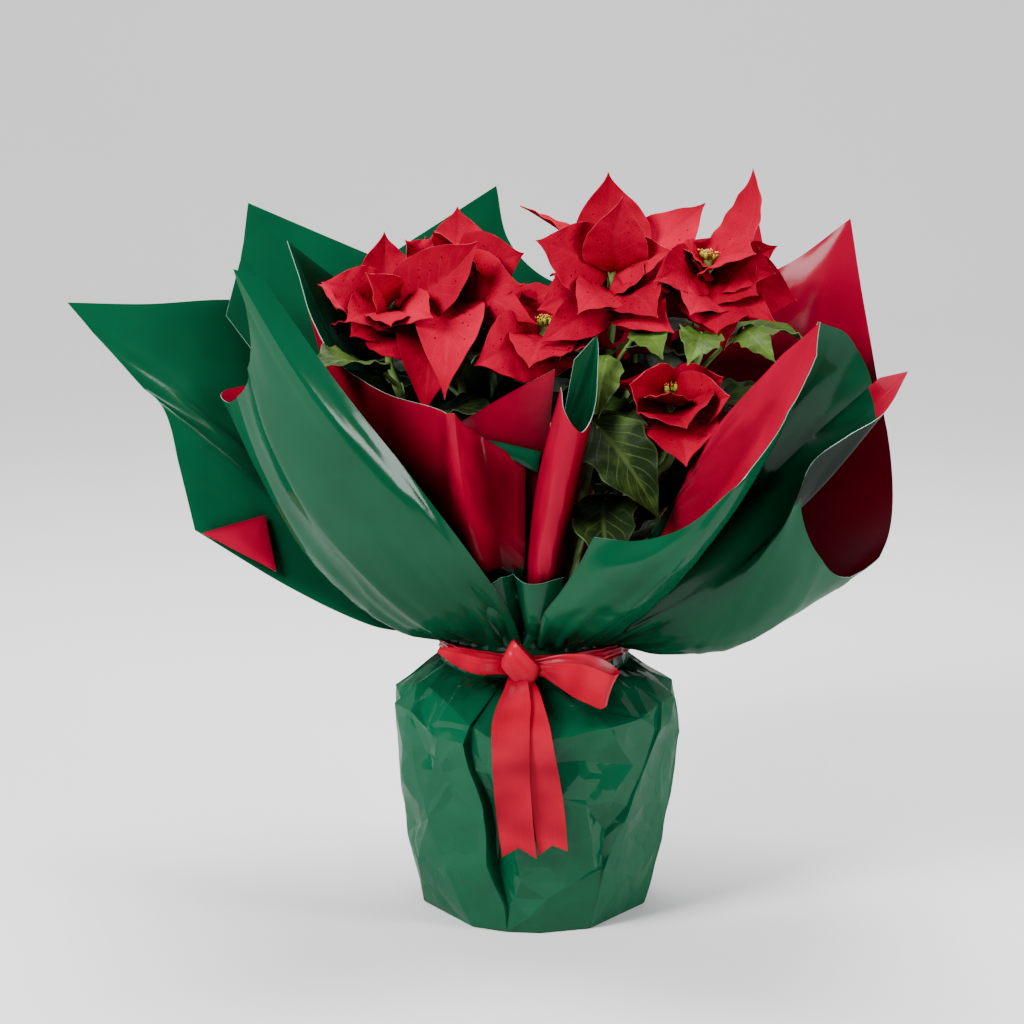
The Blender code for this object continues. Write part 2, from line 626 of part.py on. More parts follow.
def build_pot(collection, cutters, material):
    """A tapered pot with a rolled rim. It stands on the film that runs under it."""
    floor = FILM_THICK + CLEARANCE
    rim_inner = POT_RIM_RADIUS - POT_RIM_STEP - POT_WALL
    shoulder = POT_HEIGHT - POT_RIM_DROP
    profile = [
        (0.0, floor + POT_WALL),
        (POT_BASE_RADIUS - POT_WALL, floor + POT_WALL),
        (rim_inner - 1.0, shoulder - 2.0),
        (rim_inner, POT_HEIGHT - 1.0),
        (rim_inner + 0.8, POT_HEIGHT),
        (POT_RIM_RADIUS - 0.8, POT_HEIGHT),
        (POT_RIM_RADIUS, POT_HEIGHT - 1.0),
        (POT_RIM_RADIUS - 0.6, shoulder),
        (POT_RIM_RADIUS - POT_RIM_STEP, shoulder - 1.0),
        (POT_BASE_RADIUS, floor),
        (0.0, floor),
    ]
    pot = turned("nursery_pot", profile, TURN_STEPS, collection, material)
    drains = []
    for hole in range(DRAIN_HOLES):
        turn = 2 * math.pi * hole / DRAIN_HOLES
        centre = (DRAIN_CIRCLE * math.cos(turn), DRAIN_CIRCLE * math.sin(turn))
        drains.append(
            upright_cylinder(f"drain_cutter_{hole + 1}", centre, DRAIN_RADIUS, -4.0, 8.0, cutters, 8)
        )
    cut(pot, drains)
    shade(pot)
    return pot


def build_soil(collection, cutters, material):
    """The growing medium, crowned in the middle, with a plain hole for each stem."""
    floor = FILM_THICK + CLEARANCE + POT_WALL + CLEARANCE
    rim_inner = POT_RIM_RADIUS - POT_RIM_STEP - POT_WALL
    low = POT_BASE_RADIUS - POT_WALL - 1.2 * CLEARANCE
    high = rim_inner - 1.0 - 1.2 * CLEARANCE
    profile = [
        (0.0, SOIL_TOP + SOIL_CROWN),
        (high * 0.35, SOIL_TOP + SOIL_CROWN * 0.8),
        (high * 0.75, SOIL_TOP + SOIL_CROWN * 0.4),
        (high - 0.9, SOIL_TOP - 2.0),
        (low, floor),
        (0.0, floor),
    ]
    soil = turned("growing_medium", profile, TURN_STEPS, collection, material)
    holes = []
    for name, bloom in BLOOMS.items():
        radius = STEM_RADIUS + CLEARANCE + 0.1
        bottom = SOIL_TOP - STEM_HOLE_DEPTH
        holes.append(
            upright_cylinder(f"hole_cutter_{name}", bloom["foot"], radius, bottom, SOIL_TOP + 20, cutters, 10)
        )
    cut(soil, holes)
    shade(soil)
    return soil


def strip_surface(path, sideways, width, notch=0.0):
    """Rows of three points along a ribbon: its two edges and its middle."""
    rows = []
    for step, (point, side) in enumerate(zip(path, sideways)):
        point, side = np.array(point, float), np.array(side, float)
        side = side / np.linalg.norm(side)
        row = [point - side * width / 2, point, point + side * width / 2]
        if notch and step == len(path) - 1:
            row[1] = row[1] + (np.array(path[-2]) - point) / np.linalg.norm(path[-2] - point) * notch
        rows.append(row)
    return np.array(rows)


def build_strip(name, points, sides, width, notch, collection):
    path = smooth_path(points, STRIP_STEPS)
    along = np.linspace(0, len(sides) - 1, STRIP_STEPS)
    sideways = np.stack([np.interp(along, range(len(sides)), axis) for axis in np.transpose(sides)], axis=1)
    surface = strip_surface(path, sideways, width, notch)
    strip = add_mesh(name, surface.reshape(-1, 3), grid_faces(STRIP_STEPS, 3), collection)
    return thicken(strip, RIBBON_THICK)


def rounded_block(name, centre, size, lean, rounding, collection):
    mesh = bpy.data.meshes.new(name)
    block = bmesh.new()
    place = Matrix.Translation(Vector(centre) * MM) @ Matrix.Rotation(math.radians(lean), 4, "Y")
    bmesh.ops.create_cube(block, size=1.0, matrix=place @ Matrix.Diagonal((*(s * MM for s in size), 1.0)))
    block.to_mesh(mesh)
    block.free()
    obj = add_object(name, mesh, collection)
    bevel = obj.modifiers.new("rounding", "BEVEL")
    bevel.width = rounding * MM
    bevel.segments = 1
    return applied(obj)


def build_ribbon(collection, material):
    """Band, knot, two loops and two notched tails, tied from one length of ribbon."""
    band_points = []
    sides = BAND_SIDES
    for step in range(sides):
        turn = 2 * math.pi * step / sides
        for height in (BAND_MIDDLE - BAND_HEIGHT / 2, BAND_MIDDLE + BAND_HEIGHT / 2):
            band_points.append((BAND_RADIUS * math.cos(turn), BAND_RADIUS * math.sin(turn), height))
    faces = []
    for step in range(sides):
        a, b = 2 * step, 2 * step + 1
        c, d = (2 * step + 2) % (2 * sides), (2 * step + 3) % (2 * sides)
        faces += [(a, c, d), (a, d, b)]
    band = thicken(add_mesh("ribbon", band_points, faces, collection), RIBBON_THICK, offset=1.0)

    knot = rounded_block("knot", KNOT_CENTRE, KNOT_SIZE, KNOT_LEAN, KNOT_ROUNDING, collection)
    crossing = rounded_block("crossing", CROSSING_CENTRE, CROSSING_SIZE, 0, CROSSING_ROUNDING, collection)
    strips = [build_strip(name, *strip, collection) for name, strip in RIBBON_STRIPS.items()]
    ribbon = fuse(band, [knot, crossing] + strips, solver="MANIFOLD")
    ribbon.data.materials.clear()
    ribbon.data.materials.append(material)
    return ribbon


Blade = namedtuple("Blade", "base tip width arch fold roll sway")


def blade_axes(blade):
    """Along the blade, across it and out of its upper face."""
    ahead = np.subtract(blade.tip, blade.base)
    ahead = ahead / np.linalg.norm(ahead)
    turn = math.radians(blade.roll)
    side = np.cross(ahead, (0.0, -math.sin(turn), math.cos(turn)))
    if np.linalg.norm(side) < 0.15:
        side = np.cross(ahead, (0.0, -1.0, 0.0))
    side = side / np.linalg.norm(side)
    return ahead, side, np.cross(side, ahead)


def blade_rows(blade, outline):
    """Rows of left edge, midrib and right edge points along a leaf or bract."""
    chord = np.subtract(blade.tip, blade.base)
    length = np.linalg.norm(chord)
    side, normal = blade_axes(blade)[1:]
    rows = []
    for share, half in outline:
        rise = 4 * share * (1 - share) * blade.arch * length
        middle = blade.base + chord * share + normal * rise
        lift = normal * blade.fold * length * half
        wave = normal * blade.sway * math.sin(share * 9.0)
        reach = side * half * blade.width / 2
        rows.append([middle - reach + lift + wave, middle, middle + reach + lift - wave])
    return np.array(rows)


def blade_mesh(rows, thickness):
    """A closed blade: the surface moved half its thickness to each side, and the sides joined.

    The last row is one point, the tip. Both faces are split into the same triangles.
    """
    count = len(rows) - 1
    surface = [p for row in rows[:-1] for p in row] + [rows[-1][1]]
    surface = np.array(surface)
    faces = []
    for row in range(count - 1):
        a, b, c = 3 * row, 3 * row + 1, 3 * row + 2
        faces += [(a, b, a + 3), (b, b + 3, a + 3), (b, c, c + 3), (b, c + 3, b + 3)]
    a, b, c, end = 3 * (count - 1), 3 * (count - 1) + 1, 3 * (count - 1) + 2, 3 * count
    faces += [(a, b, end), (b, c, end)]
    normals = np.zeros_like(surface)
    for i, j, k in faces:
        n = np.cross(surface[j] - surface[i], surface[k] - surface[i])
        normals[[i, j, k]] += n
    normals /= np.linalg.norm(normals, axis=1)[:, None]
    upper = surface + normals * thickness / 2
    lower = surface - normals * thickness / 2
    shift = len(surface)
    left = [3 * row for row in range(count)]
    right = [3 * row + 2 for row in range(count)]
    border = [1] + right + [end] + left[::-1]
    solid = list(faces) + [(k + shift, j + shift, i + shift) for i, j, k in faces]
    for i, j in zip(border, border[1:] + border[:1]):
        solid += [(j, i, i + shift), (j, i + shift, j + shift)]
    return np.concatenate([upper, lower]), solid


def tree_of(vertices, faces):
    return BVHTree.FromPolygons([tuple(v) for v in vertices], faces)


def tree_of_object(obj):
    mesh = obj.data
    mesh.calc_loop_triangles()
    vertices = [tuple(c / MM for c in v.co) for v in mesh.vertices]
    return BVHTree.FromPolygons(vertices, [tuple(t.vertices) for t in mesh.loop_triangles])


class Crowd:
    """What already fills the space, so that the next blade can be bent clear of it."""

    def __init__(self):
        self.filled = []

    def add(self, owner, tree):
        self.filled.append((owner, tree))

    def blocks(self, tree, owner=None):
        """Whether the tree meets anything that belongs to another owner."""
        return any(other != owner and tree.overlap(taken) for other, taken in self.filled)


def turned_tip(base, tip, up, sideways, shrink):
    base, tip = Vector(base), Vector(tip)
    chord = (tip - base) * shrink
    level = chord.cross(Vector((0, 0, 1)))
    if level.length < 1e-6:
        level = Vector((0, 1, 0))
    chord.rotate(Matrix.Rotation(math.radians(up), 3, level))
    chord.rotate(Matrix.Rotation(math.radians(sideways), 3, "Z"))
    return tuple(base + chord)


def place_blade(crowd, owner, blade, outline, apart, bends=BENDS, shrinks=SHRINKS):
    """The blade, bent clear of what is there, or None where nothing fits.

    Where apart is set, it is also kept clear of its own node's blades, but for its base.
    """
    for shrink in shrinks:
        for up, sideways in bends:
            tip = turned_tip(blade.base, blade.tip, up, sideways, shrink)
            bent = blade._replace(tip=tip, width=blade.width * shrink)
            rows = blade_rows(bent, outline)
            wide = tree_of(*blade_mesh(rows, BLADE_THICK + BLADE_CLEAR))
            if crowd.blocks(wide, owner):
                continue
            if apart and crowd.blocks(tree_of(*blade_mesh(rows[1:], BLADE_THICK + BLADE_CLEAR))):
                continue
            crowd.add(owner, wide)
            return bent
    return None


def stem_path(bloom):
    """From the stem's foot in its hole, up through the neck and out to the flower head."""
    foot, centre = bloom["foot"], bloom["centre"]
    bottom = SOIL_TOP - STEM_HOLE_DEPTH + CLEARANCE
    top = centre[2] - HUB_BELOW - 2.5 * CLEARANCE
    waist = (foot[0] * 1.25, foot[1] * 1.25, 185)
    bend = (centre[0] * 0.55 + foot[0] * 0.4, centre[1] * 0.55 + foot[1] * 0.4, 250)
    return [
        (foot[0], foot[1], bottom), (foot[0], foot[1], SOIL_TOP + 12), waist, bend,
        (centre[0], centre[1], top - 14), (centre[0], centre[1], top),
    ]


def build_stem(name, bloom, collection):
    """A round stem, drawn as a bevelled curve and made a mesh with its caps welded."""
    path = smooth_path(stem_path(bloom), STEM_STEPS)
    curve = bpy.data.curves.new(name, "CURVE")
    curve.dimensions = "3D"
    curve.bevel_depth = STEM_RADIUS * MM
    curve.bevel_resolution = 1
    curve.use_fill_caps = True
    spline = curve.splines.new("POLY")
    spline.points.add(len(path) - 1)
    for step, point in enumerate(path):
        share = step / (len(path) - 1)
        spline.points[step].co = (*(c * MM for c in point), 1.0)
        spline.points[step].radius = 1 - share * (1 - STEM_TOP_RADIUS / STEM_RADIUS)
    drawn = bpy.data.objects.new(name + " curve", curve)
    collection.objects.link(drawn)
    bpy.context.view_layer.update()
    graph = bpy.context.evaluated_depsgraph_get()
    mesh = bpy.data.meshes.new_from_object(drawn.evaluated_get(graph))
    bpy.data.objects.remove(drawn, do_unlink=True)
    weld = bmesh.new()
    weld.from_mesh(mesh)
    bmesh.ops.remove_doubles(weld, verts=weld.verts, dist=0.00001)
    weld.to_mesh(mesh)
    weld.free()
    return add_object("leafy_stem_" + name, mesh, collection)


def stalk_mesh(start, end, radius, sides=5):
    """A thin straight stalk with closed ends."""
    start, end = Vector(start), Vector(end)
    ahead = (end - start).normalized()
    side = ahead.orthogonal().normalized()
    other = ahead.cross(side)
    vertices = []
    for centre in (start, end):
        for step in range(sides):
            turn = 2 * math.pi * step / sides
            vertices.append(tuple(centre + (side * math.cos(turn) + other * math.sin(turn)) * radius))
    faces = [tuple(reversed(range(sides))), tuple(range(sides, 2 * sides))]
    for step in range(sides):
        beside = (step + 1) % sides
        faces.append((step, beside, sides + beside, sides + step))
    return vertices, faces


def rooted_bract(centre, tip, width, arch, fold, roll, sway):
    """A bract from the hub to its tip. The lower the tip, the lower on the hub is its base."""
    lean = np.subtract(tip, centre)
    low = min(max(0.45 * lean[2] - 4.0, 4.0 - HUB_BELOW), -4.0)
    out = np.array([lean[0], lean[1], 0.0]) / np.hypot(lean[0], lean[1])
    base = np.array(centre) + out * HUB_RADIUS * 0.6 + (0.0, 0.0, low)
    return Blade(base, tip, width, arch, fold, roll, sway)


def rule_bract(centre, step, start, draws):
    """One bract of the ring that fills a flower head, a golden angle on from the last."""
    pitches, lengths, width, arch = BRACT_LAYERS[step % len(BRACT_LAYERS)]
    turn = math.radians(start + GOLDEN_ANGLE * step)
    pitch = math.radians(draws.uniform(*pitches))
    length = draws.uniform(*lengths)
    level = length * math.cos(pitch)
    tip = np.array(centre) + (level * math.cos(turn), level * math.sin(turn), length * math.sin(pitch))
    roll = 20.0 - 20.0 * math.sin(turn)
    return rooted_bract(centre, tip, width, arch, draws.uniform(0.0, 0.1), roll, draws.uniform(0.4, 1.2))


def place_bracts(crowd):
    """The bracts of each flower head: those placed one by one, then those that fill the rings."""
    placed = {name: [] for name in BLOOMS}
    for name, bloom in BLOOMS.items():
        owner = "bloom_" + name
        for step, (tip, *shape) in enumerate(bloom["bracts"]):
            bract = rooted_bract(bloom["centre"], tip, *shape, 0.5 + 0.2 * (step % 4))
            bent = place_blade(crowd, owner, bract, BRACT_OUTLINE, True, SMALL_BENDS, SHRINKS[:1])
            placed[name].append(bent or place_blade(crowd, owner, bract, BRACT_OUTLINE, False))
    for name, bloom in BLOOMS.items():
        draws = random.Random(f"{BRACT_SEED} {name}")
        start = draws.uniform(0, 360)
        for step in range(bloom["more"]):
            bract = rule_bract(bloom["centre"], step, start, draws)
            placed[name].append(place_blade(crowd, "bloom_" + name, bract, BRACT_OUTLINE, True))
    return {name: [bract for bract in bracts if bract] for name, bracts in placed.items()}


def build_bloom(name, bracts, collection, material):
    x, y, z = BLOOMS[name]["centre"]
    hub = upright_cylinder(
        "bloom_" + name, (x, y), HUB_RADIUS, z - HUB_BELOW, z + HUB_ABOVE, collection, 6
    )
    pieces = [
        add_mesh(f"bract {name} {step}", *blade_mesh(blade_rows(bract, BRACT_OUTLINE), BLADE_THICK), collection)
        for step, bract in enumerate(bracts)
    ]
    fuse(hub, pieces)
    hub.data.materials.clear()
    hub.data.materials.append(material)
    return hub


def build_cyathia(name, bloom, collection, material):
    """The small true flowers: a few beads on a disc, just above the bracts."""
    x, y, z = bloom["centre"]
    bottom = z + HUB_ABOVE + CLEARANCE
    disc = upright_cylinder("cyathia_" + name, (x, y), CYATHIA_DISC_RADIUS, bottom, bottom + 2.0, collection, 6)
    draws = random.Random(f"beads {name}")
    beads = []
    spacing = 360 / CYATHIA_BEADS
    for step in range(CYATHIA_BEADS):
        turn = math.radians(spacing * step + draws.uniform(-9, 9))
        reach = draws.uniform(2.9, 3.2)
        bead = bmesh.new()
        radius = draws.uniform(2.2, 2.4)
        middle = (x + reach * math.cos(turn), y + reach * math.sin(turn), bottom + draws.uniform(2.6, 3.4))
        bmesh.ops.create_icosphere(
            bead, subdivisions=1, radius=radius * MM,
            matrix=Matrix.Translation(Vector(middle) * MM) @ Matrix.Diagonal((1, 1, 1.15, 1)),
        )
        mesh = bpy.data.meshes.new(f"bead {name} {step}")
        bead.to_mesh(mesh)
        bead.free()
        beads.append(add_object(mesh.name, mesh, collection))
    fuse(disc, beads)
    disc.data.materials.clear()
    disc.data.materials.append(material)
    return disc


def stem_point(name, share):
    """The point at a share of a stem's length."""
    last = 59
    return smooth_path(stem_path(BLOOMS[name]), last + 1)[int(share * last)]


def rule_leaf(name, share, turn, draws):
    """A leaf that leaves its stem at a share of its length, towards an angle seen from above."""
    length = draws.uniform(*LEAF_LENGTH) * (0.7 + 0.4 * share)
    droop = draws.uniform(-0.35, 0.1)
    out = np.array([math.cos(turn), math.sin(turn), 0.0])
    base = stem_point(name, share) + out * 17 + (0.0, 0.0, 9.0)
    tip = base + out * length + (0.0, 0.0, droop * length)
    return Blade(base, tip, length * draws.uniform(0.5, 0.62), 0.12, 0.06, 20.0, 0.9)


def place_leaves(crowd):
    """The leaves of each stem, as pairs of a joint on the stem and a blade."""
    placed = {name: [] for name in BLOOMS}

    def add_leaf(name, share, leaf):
        joint = stem_point(name, share)
        owner = "leafy_stem_" + name
        if crowd.blocks(tree_of(*stalk_mesh(joint, leaf.base, STALK_RADIUS + BLADE_CLEAR)), owner):
            return
        bent = place_blade(crowd, owner, leaf, LEAF_OUTLINE, True)
        if not bent:
            return
        stalk = tree_of(*stalk_mesh(joint, stalk_end(bent), STALK_RADIUS + BLADE_CLEAR))
        if crowd.blocks(stalk, owner):
            crowd.filled.pop()
        else:
            crowd.add(owner, stalk)
            placed[name].append((joint, bent))

    for name, share, *shape in PLACED_LEAVES:
        add_leaf(name, share, Blade(*shape, 0.8))
    low, high = LEAF_HEIGHT
    for name, bloom in BLOOMS.items():
        draws = random.Random(f"{LEAF_SEED} {name}")
        start = draws.uniform(0, 360)
        count = LEAVES_PER_LOW_STEM if bloom["centre"][2] < LOW_STEM else LEAVES_PER_STEM
        for step in range(count):
            share = low + (high - low) * (step + 0.5) / count
            add_leaf(name, share, rule_leaf(name, share, math.radians(start + GOLDEN_ANGLE * step), draws))
    return placed


def stalk_end(blade):
    """A point on the midrib, inside the blade, where its stalk ends."""
    rows = blade_rows(blade, LEAF_OUTLINE)
    return rows[0][1] * 0.4 + rows[1][1] * 0.6


def add_leaves(stem, leaves, collection, material):
    pieces = []
    for step, (joint, blade) in enumerate(leaves):
        surface = blade_mesh(blade_rows(blade, LEAF_OUTLINE), BLADE_THICK)
        pieces.append(add_mesh(f"blade {stem.name} {step}", *surface, collection))
        stalk = stalk_mesh(joint, stalk_end(blade), STALK_RADIUS)
        pieces.append(add_mesh(f"stalk {stem.name} {step}", *stalk, collection))
    fuse(stem, pieces)
    stem.data.materials.clear()
    stem.data.materials.append(material)


def main():
    clear_scene()
    parts = new_collection(OBJECT_NAME)
    cutters = new_collection("cutters", hidden=True)

    film = make_material("green and red film", (0.01, 0.14, 0.05), 0.22)
    satin = make_material("red satin", (0.75, 0.01, 0.03), 0.35)
    plastic = make_material("terracotta plastic", (0.32, 0.10, 0.05), 0.55)
    peat = make_material("peat", (0.03, 0.02, 0.012), 0.95)
    leaf = make_material("leaf green", (0.06, 0.15, 0.03), 0.5)
    bract = make_material("bract red", (0.62, 0.005, 0.02), 0.5)
    bead = make_material("cyathia yellow green", (0.35, 0.40, 0.05), 0.45)

    wrap = build_wrap(parts, film)
    build_pot(parts, cutters, plastic)
    build_soil(parts, cutters, peat)
    ribbon = build_ribbon(parts, satin)

    crowd = Crowd()
    crowd.add("wrap_film", tree_of_object(wrap))
    crowd.add("ribbon", tree_of_object(ribbon))
    stems = {}
    for name, bloom in BLOOMS.items():
        stems[name] = build_stem(name, bloom, parts)
        crowd.add("leafy_stem_" + name, tree_of_object(stems[name]))
        cyathia = build_cyathia(name, bloom, parts, bead)
        crowd.add("cyathia_" + name, tree_of_object(cyathia))
    bracts = place_bracts(crowd)
    leaves = place_leaves(crowd)
    for name in BLOOMS:
        build_bloom(name, bracts[name], parts, bract)
        add_leaves(stems[name], leaves[name], parts, leaf)


main()
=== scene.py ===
"""The poinsettia as it is seen: finer film, ribbon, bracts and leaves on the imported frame.

Lengths below are in millimetres and become metres where a mesh is made. The origin is the middle
of the wrapped pot's flat underside, +Z is up and -Y is the front.
"""
import math
import random
from collections import namedtuple

import bmesh
import bpy
import numpy as np
from mathutils import Matrix, Vector, geometry
from mathutils import noise as noise_at
from mathutils.bvhtree import BVHTree


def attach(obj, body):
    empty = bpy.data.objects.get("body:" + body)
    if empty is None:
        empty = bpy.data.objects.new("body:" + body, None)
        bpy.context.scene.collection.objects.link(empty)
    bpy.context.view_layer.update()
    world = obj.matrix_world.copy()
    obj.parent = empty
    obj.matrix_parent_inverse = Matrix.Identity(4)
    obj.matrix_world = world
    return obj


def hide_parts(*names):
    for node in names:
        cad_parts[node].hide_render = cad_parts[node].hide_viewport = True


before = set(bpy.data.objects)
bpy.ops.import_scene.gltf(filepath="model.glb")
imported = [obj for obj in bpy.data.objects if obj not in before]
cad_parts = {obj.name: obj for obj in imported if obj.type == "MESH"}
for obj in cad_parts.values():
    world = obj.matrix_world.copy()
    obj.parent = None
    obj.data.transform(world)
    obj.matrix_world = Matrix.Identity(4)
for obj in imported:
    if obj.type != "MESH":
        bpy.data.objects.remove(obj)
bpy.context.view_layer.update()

MM = 0.001
CLEARANCE = 0.3

# Camera: where it looks, how far off it stands, how high it looks from, and its lens
CAMERA_TARGET = (-13.8, 0.0, 240.7)
CAMERA_DISTANCE = 1453.0
CAMERA_RISE = 10.0
CAMERA_LENS = 85.0

# Growing medium: its upper face, and how deep the hole of each stem goes
SOIL_TOP = 116.0
STEM_HOLE_DEPTH = 24.0

# Gift wrap: where the ribs of the collar start, in the neck
ROOT_HEIGHT = 168.0
ROOT_RADIUS = 53.6

# Band of ribbon round the neck, as it is packed
BAND_RADIUS = 58.0
BAND_HEIGHT = 12.0
BAND_MIDDLE = 159.0

# Plant
BLADE_THICK = 0.8
BLADE_CLEAR = 0.8
STEM_RADIUS = 3.2
STEM_TOP_RADIUS = 2.2
STEM_STEPS = 10
# The last of the points at equal steps of a stem's length where leaves may leave it
LAST_JOINT = 59
STALK_RADIUS = 1.3
HUB_RADIUS = 3.4
HUB_ABOVE = 2.0
HUB_BELOW = 24.0

# Half widths along a blade, from its base at 0 to its tip at 1, as shares of the widest half
BRACT_OUTLINE = [(0.0, 0.12), (0.17, 0.30), (0.42, 1.0), (0.70, 0.76), (1.0, 0.0)]
LEAF_OUTLINE = [(0.0, 0.10), (0.16, 0.62), (0.30, 1.0), (0.42, 0.80), (0.56, 0.84), (0.78, 0.40), (1.0, 0.0)]

